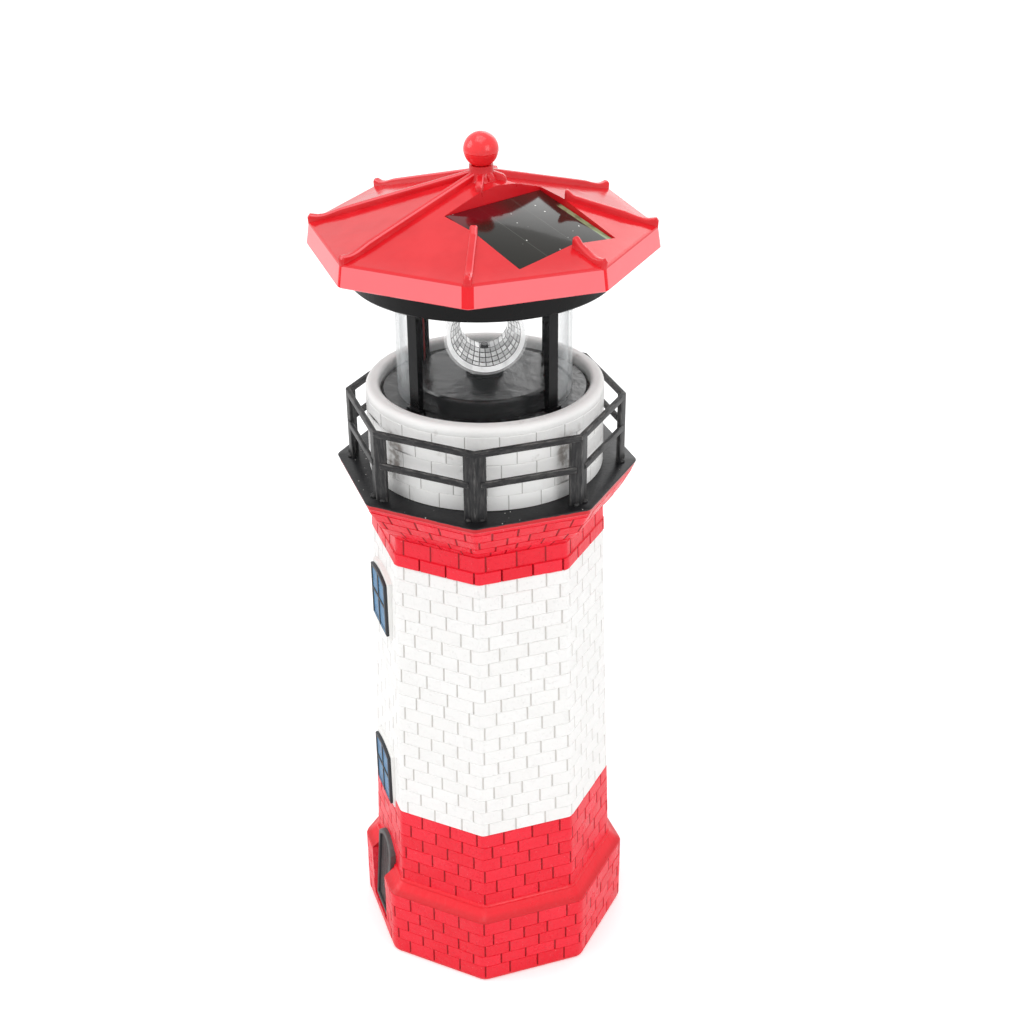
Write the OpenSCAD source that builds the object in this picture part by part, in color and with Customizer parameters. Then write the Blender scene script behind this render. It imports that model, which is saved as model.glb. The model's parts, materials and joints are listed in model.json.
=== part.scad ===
// Garden lighthouse ornament: a hollow cast tower with a solar lantern that plugs into its top.
// The origin is the centre of the plinth's underside, +Z is up, and the door faces -Y.

/* [Tower] */
// Plinth, from the centre to a rounded corner
plinth_r = 43.9; // [42:0.1:50]
// Height of the plinth's brick face
plinth_h = 25; // [20:0.5:32]
// Height of the sloping ledge above it
ledge_h = 3.4; // [2:0.1:6]
// Shaft at its foot, from the centre to a corner
shaft_foot_r = 39.4; // [38:0.1:41]
// Shaft at its top, from the centre to a corner
shaft_top_r = 35.2; // [34.6:0.1:37]
// Height of the gallery deck above the ground
deck_z = 171.3; // [165:0.1:180]
// Height of the flare under the deck
flare_h = 15.1; // [12:0.1:20]
// Deck, from the centre to a corner
deck_r = 45.1; // [43.5:0.1:48]
// Thickness of the deck's edge
deck_t = 2.2; // [1.5:0.1:4]
// Rounding of the tower's upright corners
corner_round = 4.5; // [2:0.1:6]
// Bore that the drive housing hangs in
tower_bore_r = 28.5; // [28.4:0.1:29]
// Hollow at the foot
foot_bore_r = 33; // [30:0.1:34]

/* [Curb] */
// Outside of the round curb
curb_r = 35.1; // [34:0.1:38]
// Height of the curb above the deck
curb_h = 26.2; // [22:0.1:30]
// Radius of the curb's mouth
curb_mouth_r = 31; // [31:0.1:32]
// Depth of the seat below the curb's crest
seat_depth = 5; // [3.5:0.1:6]

/* [Door and windows] */
// Width of the door
door_w = 14.8; // [11:0.1:18]
// Height of the door's sill
door_sill_z = 5; // [3:0.1:8]
// Height of the door, sill to crown
door_h = 28.3; // [24:0.1:32]
// Width of a window
window_w = 12.4; // [9:0.1:14]
// Height of a window, sill to crown
window_h = 16.5; // [12:0.1:20]
// Sill of the lower window
lower_window_z = 53; // [46:0.1:70]
// Sill of the upper window
upper_window_z = 119.2; // [95:0.1:125]
// Rise of the arched tops
arch_rise = 3.4; // [2:0.1:5]
// How far the frames stand proud
frame_proud = 0.7; // [0.4:0.1:1.2]

/* [Railing] */
// Railing, from the centre to a corner
rail_r = 41.6; // [40.5:0.1:43]
// Height of the top rail above the deck
rail_h = 21.7; // [18:0.1:24]
// Height of the mid rail's underside above the deck
mid_rail_h = 10.2; // [7:0.1:13]
// Depth of a rail
rail_depth = 2; // [1.4:0.1:3]
// Thickness of rails and posts
rail_t = 1.3; // [1:0.1:2]
// Width of each leg of a corner post
post_leg = 3.6; // [2.8:0.1:5]

/* [Lantern] */
// Radius of the base flange
flange_r = 30.4; // [30:0.1:30.6]
// Thickness of the base flange
flange_t = 2.6; // [2.4:0.1:3.4]
// Radius of the raised stage
stage_r = 21; // [18:0.1:23]
// Height of the stage above the flange
stage_h = 3.9; // [3:0.1:5]
// Outside radius of the clear tube
lens_r = 25.7; // [25.2:0.1:25.8]
// Wall of the clear tube
lens_wall = 1.2; // [0.8:0.1:1.6]
// Height between the flange and the ceiling tray
light_h = 34.3; // [33:0.1:40]
// Width of a lantern post
bar_w = 3.6; // [3.2:0.1:5]
// Thickness of a lantern post
bar_t = 1.8; // [1.7:0.1:2.2]
// Angle of the first lantern post from the door's direction
bar_angle = 26; // [20:1:35]
// Radius of the ceiling tray
tray_r = 38.2; // [36:0.1:40]
// Height of the ceiling tray
tray_h = 9.1; // [7:0.1:10]
// Wall of the mouldings
wall = 2; // [1.6:0.1:2.4]

/* [Roof] */
// Roof at the eaves, from the centre to a corner
roof_r = 50; // [47:0.1:54]
// How far the fascia leans in at its top
fascia_lean = 1; // [0.5:0.1:2]
// Height of the fascia
fascia_h = 6.4; // [5:0.1:8]
// How far the eaves hang below the tray's rim
eave_drop = 0.9; // [0.5:0.1:2]
// Height of the roof's apex above the fascia
roof_rise = 14.4; // [13:0.1:17]
// Width of a roof rib
rib_w = 2.2; // [1.6:0.1:3]
// How far the ribs stand proud
rib_proud = 1.7; // [1:0.1:2.5]
// Radius of the neck under the ball
neck_r = 3.4; // [2.6:0.1:4]
// Radius of the ball
ball_r = 4.9; // [4:0.1:6]

/* [Solar panel] */
// Length across the slope
panel_w = 34.1; // [28:0.1:35]
// Length down the slope
panel_l = 29.6; // [24:0.1:30]
// Thickness of the panel
panel_t = 2; // [1.5:0.1:2.5]
// Distance of the panel's upper edge from the axis
panel_in = 6.9; // [6.5:0.1:8]
// Sideways place of the panel
panel_side = 1.5; // [0:0.1:2]
// Depth of the panel's upper edge below the apex
panel_drop = 6.4; // [6.2:0.1:7]
// Fall of the panel for each millimetre outwards
panel_fall_share = 0.24; // [0.22:0.01:0.26]

/* [Beacon] */
// Radius of the rims of the double bowl
rim_r = 12; // [10:0.1:12]
// Radius of its waist
waist_r = 8; // [7:0.1:9]
// Half its length
bowl_l = 10; // [8:0.1:11]
// Wall of the bowls
bowl_wall = 1.4; // [1:0.1:1.8]
// Height of its centre above the stage
beacon_h = 15.3; // [15:0.1:17]
// Direction that it faces at rest, from the door's direction
beacon_turn = 75; // [0:5:355]
// Radius of the hub
hub_r = 4.1; // [3.4:0.1:5]
// Diameter of the lamp
led_d = 5; // [3:1:5]

/* [Drive] */
// Gear module
gear_module = 0.5; // [0.48:0.01:0.52]
// Teeth of the pinions
pinion_teeth = 12; // [12:1:13]
// Teeth of the wheels
wheel_teeth = 36; // [34:1:36]
// Width of a gear face
gear_w = 3; // [2:0.1:3.2]
// Radius of the spindle
spindle_r = 1.5; // [1:0.1:1.8]
// Radius of the drive housing
housing_r = 26.4; // [26:0.1:26.6]
// Height of the drive housing
housing_h = 72.4; // [71:0.1:80]
// Wall of the drive housing
housing_wall = 1.6; // [1.2:0.1:2]
// Radius of the motor
motor_r = 10; // [8:0.1:10]
// Length of the motor
motor_l = 23; // [15:0.1:30]
// Distance of the motor from the axis
motor_x = 13; // [12:0.1:13.5]

/* [Battery] */
// Diameter of the cell
cell_d = 14.2; // [13:0.1:14.5]
// Length of the cell with its nub
cell_l = 50.5; // [44:0.1:51]
// Distance of the cell from the axis
cell_x = 16.7; // [16:0.1:17]
// Length of the spring when it is pressed
spring_l = 4.8; // [4:0.1:6]
// Wire of the spring
spring_wire = 0.6; // [0.4:0.1:0.7]
// Turns of the spring
spring_turns = 4; // [3:1:4]

/* [Electronics] */
// Width of the control board
board_w = 34; // [26:0.5:36]
// Thickness of the control board
board_t = 1.6; // [1:0.1:2]
// Travel of the switch
switch_travel = 3; // [2:0.1:4]

/* [Hidden] */
$fn = 64;

// Clearances, the cutting overrun and small shared sizes
fit = 0.05;
slide_fit = 0.1;
gap = 0.3;
over = 1;
edge = 0.6;
screw_r = 1;
screw_head_r = 1.9;
screw_head_h = 1.2;
wire_r = 0.45;
wire_hole_r = 0.8;

// The octagon: corners lie half a side's turn from the axes
sides = 8;
side_turn = 360 / sides;
half_turn = side_turn / 2;
corner_steps = 3;
door_dir = -90;

// Heights
crest_z = deck_z + curb_h;
seat_z = crest_z - seat_depth;
flange_z = seat_z + flange_t;
stage_z = flange_z + stage_h;
ceiling_z = flange_z + light_h;
tray_top_z = ceiling_z + tray_h;
eave_z = tray_top_z - eave_drop;
fascia_z = eave_z + fascia_h;
apex_z = fascia_z + roof_rise;
housing_z = seat_z - housing_h;
floor_z = housing_z + housing_wall;
beacon_z = stage_z + beacon_h;
bar_ring_r = lens_r + gap + bar_t / 2;

// Distance from the axis to a flat whose corners, rounded by c, reach r
function flat_r(r, c) = (r - c) * cos(half_turn) + c;

// One level ring of a rounded octagon
function oct_ring(z, r, c) = [
    for (k = [0 : sides - 1], j = [0 : corner_steps])
        let (dir = half_turn + k * side_turn, a = dir - half_turn + j * side_turn / corner_steps)
            [(r - c) * cos(dir) + c * cos(a), (r - c) * sin(dir) + c * sin(a), z]];

// A solid through rings of [height, corner radius, rounding], lowest first
module loft(levels) {
    tube_mesh([for (l = levels) oct_ring(l[0], l[1], l[2])]);
}

// Points on an arc about c
function arc(c, r, a0, a1, n) =
    [for (i = [0 : n]) let (a = a0 + (a1 - a0) * i / n) [c[0] + r * cos(a), c[1] + r * sin(a)]];

// An upright outline with an arched top, standing on the x axis
module arch(w, h, rise) {
    r = (w * w / 4 + rise * rise) / (2 * rise);
    half = asin(w / 2 / r);
    steps = 10;
    polygon(concat([[-w / 2, 0], [w / 2, 0]], arc([0, h - r], r, 90 - half, 90 + half, steps)));
}

// An arched block that faces the door's way, from depth a0 to a1 off the axis
module arch_block(w, h, rise, z, a0, a1) {
    translate([0, -a0, z]) rotate([90, 0, 0]) linear_extrude(a1 - a0) arch(w, h, rise);
}

// A bar along x from x0 to x1 whose upright outline is drawn in x and z
module upright(y0, y1) {
    translate([0, y1, 0]) rotate([90, 0, 0]) linear_extrude(y1 - y0) children();
}

// A thin round lead through a list of points, mitred at its bends
lead_sides = 8;
steep_share = 0.9;
function unit(v) = v / norm(v);
function lead_rings(p, ring, i) = i > len(p) - 1 ? [] :
    let (d = unit(p[i] - p[i - 1]), e = i < len(p) - 1 ? unit(p[i + 1] - p[i]) : d,
        next = [for (q = ring) q + d * (((p[i] - q) * (d + e)) / (d * (d + e)))])
            concat([next], lead_rings(p, next, i + 1));
module lead(p) {
    d = unit(p[1] - p[0]);
    u = unit(cross(d, abs(d[2]) > steep_share ? [1, 0, 0] : [0, 0, 1]));
    v = cross(d, u);
    first = [for (j = [0 : lead_sides - 1]) let (a = j * 360 / lead_sides)
        p[0] + wire_r * (u * cos(a) + v * sin(a))];
    tube_mesh(concat([first], lead_rings(p, first, 1)));
}

// A closed skin over rings of points that turn to the left about the way they advance
module tube_mesh(rings) {
    n = len(rings[0]);
    last = len(rings) - 1;
    walls = [for (i = [0 : last - 1], j = [0 : n - 1])
        let (a = i * n + j, b = i * n + (j + 1) % n) each [[a, a + n, b], [b, a + n, b + n]]];
    foot = [for (j = [0 : n - 1]) j];
    head = [for (j = [n - 1 : -1 : 0]) last * n + j];
    polyhedron(points = [for (r = rings) each r], faces = concat(walls, [foot, head]));
}

// A screw whose head's seat is at the origin, with its shank downwards
module screw(length) {
    translate([0, 0, -length]) cylinder(r = screw_r, h = length + edge);
    difference() {
        cylinder(r = screw_head_r, h = screw_head_h);
        for (a = [0, 90]) rotate([0, 0, a])
            translate([-screw_r, -screw_r / 4, screw_head_h / 2])
                cube([2 * screw_r, screw_r / 2, screw_head_h]);
    }
}

// An involute gear of the given teeth, centred on the axis, with one tooth along +x
pressure_angle = 20;
addendum_share = 0.9;
dedendum_share = 1.2;
backlash_share = 0.12;
function roll(r, rb) = r <= rb ? 0 : sqrt(pow(r / rb, 2) - 1) * 180 / PI - acos(rb / r);
module gear(teeth, width) {
    pitch = gear_module * teeth / 2;
    base = pitch * cos(pressure_angle);
    tip = pitch + addendum_share * gear_module;
    root = pitch - dedendum_share * gear_module;
    half_tooth = 90 / teeth * (1 - backlash_share);
    flank_steps = 3;
    low = max(base, root);
    radii = [root, for (i = [0 : flank_steps]) low + (tip - low) * i / flank_steps];
    function half_at(r) = half_tooth + roll(pitch, base) - roll(r, base);
    left = [for (r = radii) [r, -half_at(r)]];
    right = [for (i = [len(radii) - 1 : -1 : 0]) [radii[i], half_at(radii[i])]];
    linear_extrude(width) polygon([for (k = [0 : teeth - 1]) for (p = concat(left, right))
        let (a = p[1] + k * 360 / teeth) [p[0] * cos(a), p[0] * sin(a)]]);
}

// Tower

shaft_foot_z = plinth_h + ledge_h;
shaft_top_z = deck_z - flare_h;
foot_chamfer = 0.7;
foot_chamfer_h = 1.2;
deck_edge_round = 0.8;
deck_round = 2.5;
ledge_break_share = 0.7;
flare_shares = [[0.19, 0.31], [0.42, 0.56], [0.67, 0.77], [0.91, 0.96]];
function shaft_r(z) =
    shaft_foot_r + (shaft_top_r - shaft_foot_r) * (z - shaft_foot_z) / (shaft_top_z - shaft_foot_z);
deck_low_r = deck_r - deck_edge_round;
deck_low_z = deck_z - deck_t;
tower_levels = concat(
    [[0, plinth_r - foot_chamfer, corner_round], [foot_chamfer_h, plinth_r, corner_round],
     [plinth_h, plinth_r, corner_round],
     [plinth_h + ledge_h * ledge_break_share, plinth_r - foot_chamfer, corner_round],
     [shaft_foot_z, shaft_foot_r, corner_round], [shaft_top_z, shaft_top_r, corner_round]],
    [for (s = flare_shares) [shaft_top_z + s[0] * (deck_low_z - shaft_top_z),
        shaft_top_r + s[1] * (deck_low_r - shaft_top_r),
        corner_round + s[1] * (deck_round - corner_round)]],
    [[deck_low_z, deck_low_r, deck_round], [deck_z - deck_edge_round, deck_r, deck_round],
     [deck_z, deck_r - deck_edge_round / 4, deck_round]]);

crest_round_in = 1.3;
crest_round_out = curb_r - curb_mouth_r - crest_round_in;
bore_waist_r = 30.4;
bore_ease_h = 4;
bore_step_z = housing_z - bore_ease_h / 2;

// The curb and what it stands on, turned about the axis
module curb_ring() {
    steps = 6;
    rotate_extrude($fn = 96) polygon(concat(
        [[tower_bore_r - edge, deck_z - deck_t], [curb_r, deck_z - deck_t]],
        arc([curb_r - crest_round_out, crest_z - crest_round_out], crest_round_out, 0, 90, steps),
        arc([curb_mouth_r + crest_round_in, crest_z - crest_round_in], crest_round_in, 90, 180, steps),
        [[curb_mouth_r, seat_z], [tower_bore_r - edge, seat_z]]));
}

// The hollow: a straight bore round the drive housing, and a wider one below it
module tower_hollow() {
    rotate_extrude($fn = 96) polygon([[0, -over], [foot_bore_r, -over], [foot_bore_r, 0],
        [bore_waist_r, bore_step_z], [tower_bore_r, bore_step_z + bore_ease_h],
        [tower_bore_r, crest_z], [0, crest_z]]);
}

// A window: a raised frame with four sunk panes
pane_gap = 1.2;
frame_w = 1.6;
pane_depth = 0.6;
module window(z) {
    face = flat_r(shaft_r(z), corner_round) + frame_proud;
    pane_w = (window_w - 2 * frame_w - pane_gap) / 2;
    pane_h = (window_h - arch_rise - frame_w - pane_gap / 2) / 2;
    difference() {
        arch_block(window_w, window_h, arch_rise, z, tower_bore_r + wall, face);
        for (x = [-1, 1], row = [0, 1])
            translate([x * (pane_w + pane_gap) / 2, 0, z + frame_w + row * (pane_h + pane_gap)])
                translate([-pane_w / 2, -face - over, 0]) cube([pane_w, pane_depth + over, pane_h]);
    }
}

door_face = (flat_r(plinth_r, corner_round) + flat_r(shaft_foot_r, corner_round)) / 2;
door_recess = 1.2;
leaf_depth = 0.9;
door_rise_share = 0.28;
module door() {
    leaf_w = door_w - 2 * frame_w;
    difference() {
        arch_block(door_w, door_h, door_w * door_rise_share, door_sill_z, foot_bore_r + edge, door_face);
        arch_block(leaf_w, door_h - frame_w, leaf_w * door_rise_share, door_sill_z,
            door_face - leaf_depth, door_face + over);
    }
}

module tower_casting() {
    color("tomato") difference() {
        union() {
            difference() {
                union() {
                    loft(tower_levels);
                    curb_ring();
                }
                arch_block(door_w + door_recess, door_h + door_recess, door_w * door_rise_share,
                    door_sill_z - door_recess / 2, door_face - leaf_depth - door_recess, plinth_r + over);
            }
            door();
            window(lower_window_z);
            window(upper_window_z);
        }
        tower_hollow();
    }
}

// Railing

rail_top_z = deck_z + rail_h;

// An octagonal frame: corner radius r outside, thickness t, from z upwards by h
module oct_frame(r, t, z, h) {
    translate([0, 0, z]) linear_extrude(h) difference() {
        polygon([for (k = [0 : sides - 1]) let (a = half_turn + k * side_turn) r * [cos(a), sin(a)]]);
        polygon([for (k = [0 : sides - 1]) let (a = half_turn + k * side_turn)
            (r - t / cos(half_turn)) * [cos(a), sin(a)]]);
    }
}

// The part of the frame within a leg's length of the corners
module corner_zone(z, h) {
    for (k = [0 : sides - 1]) rotate([0, 0, half_turn + k * side_turn])
        translate([rail_r - post_leg, -post_leg, z]) cube([2 * post_leg, 2 * post_leg, h]);
}

module railing_posts() {
    color([0.15, 0.15, 0.16]) intersection() {
        oct_frame(rail_r, rail_t, deck_z, rail_h - rail_depth);
        corner_zone(deck_z, rail_h - rail_depth);
    }
}

module top_rail() {
    color([0.15, 0.15, 0.16]) oct_frame(rail_r, rail_t, rail_top_z - rail_depth, rail_depth);
}

module mid_rail() {
    color([0.15, 0.15, 0.16]) difference() {
        oct_frame(rail_r, rail_t, deck_z + mid_rail_h, rail_depth);
        corner_zone(deck_z, rail_h);
    }
}

// Lantern base

hub_gap = 0.3;
skirt_r = tower_bore_r - gap;
skirt_in_r = housing_r + slide_fit;
skirt_h = 8;
stage_under_z = stage_z - wall;
boss_r = 5.2;
boss_h = 9;
bush_r = 3;
bush_flange_r = 4.2;
bush_flange_t = 0.7;
groove_d = 0.6;
pillar_r = 2.3;
pillar_ring_r = 22;
pillar_dirs = [30, 135, 225, 330];
pilot_r = screw_r + fit;
plate_t = 2;
plate_drop = 12.5;
plate_top_z = seat_z - plate_drop;
plate_z = plate_top_z - plate_t;
lead_drop_r = 23.2;
lead_slot_z = seat_z + wire_hole_r;
axle_r = 1;
axle_socket_r = 2.2;
pitch_c = gear_module * (pinion_teeth + wheel_teeth) / 2;
idler_x = motor_x / 2;
idler_y = sqrt(pow(pitch_c, 2) - pow(idler_x, 2));
gear_gap = 1.5;
stage_one_z = plate_top_z + gear_gap;
stage_two_z = stage_one_z + gear_w + gear_gap;
gears_top_z = stage_two_z + gear_w;
socket_gap = 0.4;
socket_z = gears_top_z + socket_gap;
axle_in = 2;
axle_top_z = socket_z + axle_in;
peg_w = bar_w / 2;
peg_h = 1;
channel_w = 1.4;
channel_d = 1.1;
peg_t = bar_t - channel_d - 2 * fit;
bar_foot_out = 0.8;
bar_foot_w = bar_w + 2 * edge;
bar_foot_t = bar_t + bar_foot_out;
bar_foot_h = 1.2;
function bar_dir(k) = door_dir + bar_angle + (k - 1) * 90;
function around(r, a, z) = [r * cos(a), r * sin(a), z];

// The two rear posts carry the leads
lead_posts = [3, 4];
lead_r = bar_ring_r - bar_t / 2 + channel_d / 2;

// Peg of a lantern post, or its socket when grown by g
module bar_peg(k, z, g) {
    rotate([0, 0, bar_dir(k)])
        translate([bar_ring_r + bar_t / 2 - peg_t - g - fit, -peg_w / 2 - g, z])
            cube([peg_t + 2 * g, peg_w + 2 * g, peg_h + g]);
}

module lantern_base() {
    color([0.13, 0.13, 0.14]) difference() {
        union() {
            rotate_extrude($fn = 96) polygon([
                [bush_r + fit, stage_z - boss_h], [boss_r, stage_z - boss_h], [boss_r, stage_under_z],
                [stage_r - wall, stage_under_z], [stage_r - wall, seat_z], [skirt_in_r, seat_z],
                [skirt_in_r, seat_z - skirt_h], [skirt_r, seat_z - skirt_h], [skirt_r, seat_z],
                [flange_r, seat_z], [flange_r, flange_z - edge], [flange_r - edge, flange_z],
                [stage_r, flange_z], [stage_r, stage_z - edge], [stage_r - edge, stage_z],
                [bush_r + fit, stage_z]]);
            for (a = pillar_dirs) translate(around(pillar_ring_r, a, plate_top_z))
                cylinder(r = pillar_r, h = seat_z - plate_top_z + edge);
            translate([idler_x, idler_y, socket_z])
                cylinder(r = axle_socket_r, h = stage_under_z - socket_z + edge);
        }
        for (a = pillar_dirs) translate(around(pillar_ring_r, a, plate_top_z - over))
            cylinder(r = pilot_r, h = plate_screw_l + over);
        translate([idler_x, idler_y, socket_z - over])
            cylinder(r = axle_r + fit, h = axle_in + over + gap);
        translate([0, 0, flange_z - groove_d]) difference() {
            cylinder(r = lens_r + slide_fit, h = groove_d + over);
            translate([0, 0, -over]) cylinder(r = lens_r - lens_wall - slide_fit, h = groove_d + 3 * over);
        }
        for (k = [1 : 4]) bar_peg(k, flange_z - peg_h, fit);
        for (k = lead_posts) rotate([0, 0, bar_dir(k)]) {
            translate([lead_r, 0, seat_z]) cylinder(r = wire_hole_r, h = flange_t + over, $fn = 24);
            translate([lead_drop_r - wire_hole_r, -wire_hole_r, seat_z - over])
                cube([lead_r - lead_drop_r + 2 * wire_hole_r, 2 * wire_hole_r, 2 * wire_hole_r + over]);
        }
        for (a = housing_screw_dirs) rotate([0, 0, a]) translate([skirt_in_r - over, 0, housing_screw_z])
            rotate([0, 90, 0]) {
                cylinder(r = pilot_r, h = flange_r);
                translate([0, 0, over + skirt_r - skirt_in_r - screw_head_h])
                    cylinder(r = screw_head_r + slide_fit, h = flange_r);
            }
    }
}

module lens_cylinder() {
    color([0.85, 0.9, 0.92, 0.35]) translate([0, 0, flange_z - groove_d + fit]) difference() {
        cylinder(r = lens_r, h = light_h + 2 * groove_d - 2 * fit, $fn = 96);
        translate([0, 0, -over])
            cylinder(r = lens_r - lens_wall, h = light_h + 2 * groove_d + 2 * over, $fn = 96);
    }
}

module lantern_post(k) {
    color([0.1, 0.1, 0.11]) {
        rotate([0, 0, bar_dir(k)]) difference() {
            union() {
                translate([bar_ring_r - bar_t / 2, -bar_w / 2, flange_z]) cube([bar_t, bar_w, light_h]);
                translate([bar_ring_r - bar_t / 2, -bar_foot_w / 2, flange_z])
                    cube([bar_foot_t, bar_foot_w, bar_foot_h]);
            }
            translate([bar_ring_r - bar_t / 2 - over, -channel_w / 2, flange_z - over])
                cube([channel_d + over, channel_w, light_h + 2 * over]);
        }
        bar_peg(k, flange_z - peg_h + fit, 0);
        bar_peg(k, ceiling_z - fit, 0);
    }
}

// Ceiling tray

led_r = led_d / 2;
led_shoulder = 0.4;
led_flange_h = 1;
led_l = 7.5;
led_in = 1.5;
led_body_z = beacon_z + waist_r - bowl_wall - led_in;
led_flange_z = led_body_z + led_l - led_r;
holder_wall = 1.2;
holder_r = led_r + led_shoulder + fit + holder_wall;
holder_in = 1.5;
holder_z = beacon_z + rim_r - holder_in;
boss_ring_r = 31;
roof_boss_r = 2.8;
roof_boss_dirs = [112.5, 202.5, 292.5];
roof_screw_l = 7;

module ceiling_tray() {
    tray_edge = 0.5;
    color([0.12, 0.12, 0.12]) difference() {
        rotate_extrude($fn = 96) polygon([
            [led_r + fit, holder_z], [holder_r, holder_z], [holder_r, ceiling_z],
            [tray_r - tray_edge, ceiling_z], [tray_r, ceiling_z + tray_edge], [tray_r, tray_top_z],
            [tray_r - wall, tray_top_z], [tray_r - wall, ceiling_z + wall],
            [led_r + led_shoulder + fit, ceiling_z + wall],
            [led_r + led_shoulder + fit, led_flange_z - fit], [led_r + fit, led_flange_z - fit]]);
        translate([0, 0, ceiling_z - over]) difference() {
            cylinder(r = lens_r + slide_fit, h = groove_d + over);
            translate([0, 0, -over]) cylinder(r = lens_r - lens_wall - slide_fit, h = groove_d + 3 * over);
        }
        for (k = [1 : 4]) bar_peg(k, ceiling_z - fit, fit);
        for (k = lead_posts) translate(around(lead_r, bar_dir(k), ceiling_z - over))
            cylinder(r = wire_hole_r, h = wall + 2 * over, $fn = 24);
        for (a = roof_boss_dirs) translate(around(boss_ring_r, a, ceiling_z - over)) {
            cylinder(r = pilot_r, h = wall + 2 * over);
            cylinder(r = screw_head_r + slide_fit, h = over + screw_head_h);
        }
    }
}

module roof_screws() {
    color("silver") for (a = roof_boss_dirs) translate(around(boss_ring_r, a, ceiling_z + screw_head_h))
        rotate([180, 0, 0]) screw(roof_screw_l);
}

// Roof

roof_round = 2;
slope = roof_rise / flat_r(roof_r - fascia_lean, roof_round);
inner_r = roof_r - wall / cos(half_turn);
apex_r = 0.8;
apex_round = 0.16;
module roof_outside() {
    loft([[eave_z, roof_r, roof_round], [fascia_z, roof_r - fascia_lean, roof_round],
        [apex_z - slope * apex_r, apex_r, apex_round]]);
}
module roof_inside() {
    top_r = inner_r - fascia_lean;
    loft([[eave_z - over, inner_r, roof_round / 2], [fascia_z - wall * slope, top_r, roof_round / 2],
        [apex_z - wall - edge - slope * apex_r, apex_r, apex_round]]);
}

// A rib: its side view, from the neck out to an upturned end
rib_sink = 1.2;
rib_end_over = 0.1;
rib_curl = 2.2;
rib_tip_share = 0.8;
rib_rise_share = 1.6;
corner_slope = slope * cos(half_turn);
module rib() {
    steps = 5;
    function z_at(x) = apex_z - corner_slope * x;
    end_x = roof_r - rib_end_over;
    rise_x = end_x - rib_rise_share * rib_curl;
    upright(-rib_w / 2, rib_w / 2) polygon(concat(
        [[0, z_at(0) - rib_sink], [end_x - fascia_lean / 2, fascia_z - rib_sink]],
        arc([end_x - rib_curl / 2, fascia_z + rib_proud * rib_tip_share], rib_curl / 2, -60, 90, steps),
        [[rise_x, z_at(rise_x) + rib_proud], [0, z_at(0) + rib_proud]]));
}

// The panel's own frame: x runs outwards from the axis, y sideways
panel_dir = half_turn;
panel_top_z = apex_z - panel_drop;
panel_lean = atan(panel_fall_share);
window_gap = 0.3;
gasket_t = 1;
ledge_t = 1.6;
ledge_in = 2.2;
lining = 1.6;
function panel_z(x) = panel_top_z - panel_fall_share * (x - panel_in);
panel_out = panel_in + panel_l;
panel_y0 = -panel_side - panel_w / 2;
panel_y1 = -panel_side + panel_w / 2;
sink = panel_t / cos(panel_lean);
module in_panel_frame() { rotate([0, 0, panel_dir]) children(); }

// An upright prism in the panel's frame, grown by g, from the panel plane less d up to z
module panel_prism(g, d, z) {
    x0 = panel_in - g;
    x1 = panel_out + g;
    in_panel_frame() upright(panel_y0 - g, panel_y1 + g)
        polygon([[x0, panel_z(x0) - d], [x1, panel_z(x1) - d], [x1, z], [x0, z]]);
}

module roof_cap() {
    color("crimson") difference() {
        union() {
            difference() {
                roof_outside();
                roof_inside();
            }
            intersection() {
                roof_outside();
                panel_prism(window_gap + lining, sink + gasket_t + ledge_t, apex_z);
            }
            intersection() {
                roof_outside();
                for (a = roof_boss_dirs) translate(around(boss_ring_r, a, eave_z - over))
                    cylinder(r = roof_boss_r, h = apex_z - eave_z);
            }
            for (a = roof_boss_dirs) translate(around(boss_ring_r, a, ceiling_z + wall))
                cylinder(r = roof_boss_r, h = fascia_z - ceiling_z - wall);
            for (k = [0 : sides - 1]) rotate([0, 0, half_turn + k * side_turn]) rib();
            translate([0, 0, apex_z - neck_r]) cylinder(r = neck_r, h = neck_r + neck_h);
        }
        panel_prism(window_gap, sink + gasket_t, apex_z + ball_r);
        panel_prism(-ledge_in, sink + gasket_t + ledge_t + over, apex_z + ball_r);
        for (a = roof_boss_dirs) translate(around(boss_ring_r, a, ceiling_z + wall - over))
            cylinder(r = pilot_r, h = roof_screw_l + over);
        translate([0, 0, ball_z - ball_r - ball_peg_l + edge])
            cylinder(r = ball_peg_r + fit, h = ball_peg_l);
    }
}

neck_h = 2.2;
ball_peg_r = 1.2;
ball_peg_l = 3.5;
ball_sink = 0.4;
ball_z = apex_z + neck_h + ball_r - ball_sink;
module finial_ball() {
    color("crimson") {
        difference() {
            translate([0, 0, ball_z]) sphere(r = ball_r);
            translate([0, 0, apex_z - ball_r]) cylinder(r = 2 * ball_r, h = ball_r + neck_h);
        }
        translate([0, 0, ball_z - ball_r - ball_peg_l + edge + slide_fit])
            cylinder(r = ball_peg_r, h = ball_peg_l + edge);
    }
}

module solar_panel() {
    // The slab's lower edge, not its upper one, meets the window's inner wall
    set_out = panel_t * sin(panel_lean);
    color([0.2, 0.21, 0.22]) in_panel_frame()
        translate([panel_in + set_out, 0, panel_z(panel_in + set_out)])
            rotate([0, panel_lean, 0]) translate([0, panel_y0, -panel_t])
                cube([(panel_l - set_out) / cos(panel_lean), panel_w, panel_t]);
}

module panel_gasket() {
    color([0.25, 0.25, 0.25]) difference() {
        panel_slab(0, sink + gasket_t, sink + fit);
        panel_slab(-ledge_in, sink + gasket_t + over, sink - over);
    }
}

// A slab in the panel's frame, grown by g, between depths d0 and d1 under the panel plane
module panel_slab(g, d0, d1) {
    x0 = panel_in - g;
    x1 = panel_out + g - edge;
    in_panel_frame() upright(panel_y0 - g, panel_y1 + g)
        polygon([[x0, panel_z(x0) - d0], [x1, panel_z(x1) - d0], [x1, panel_z(x1) - d1],
            [x0, panel_z(x0) - d1]]);
}

// Lamp and leads

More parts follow.
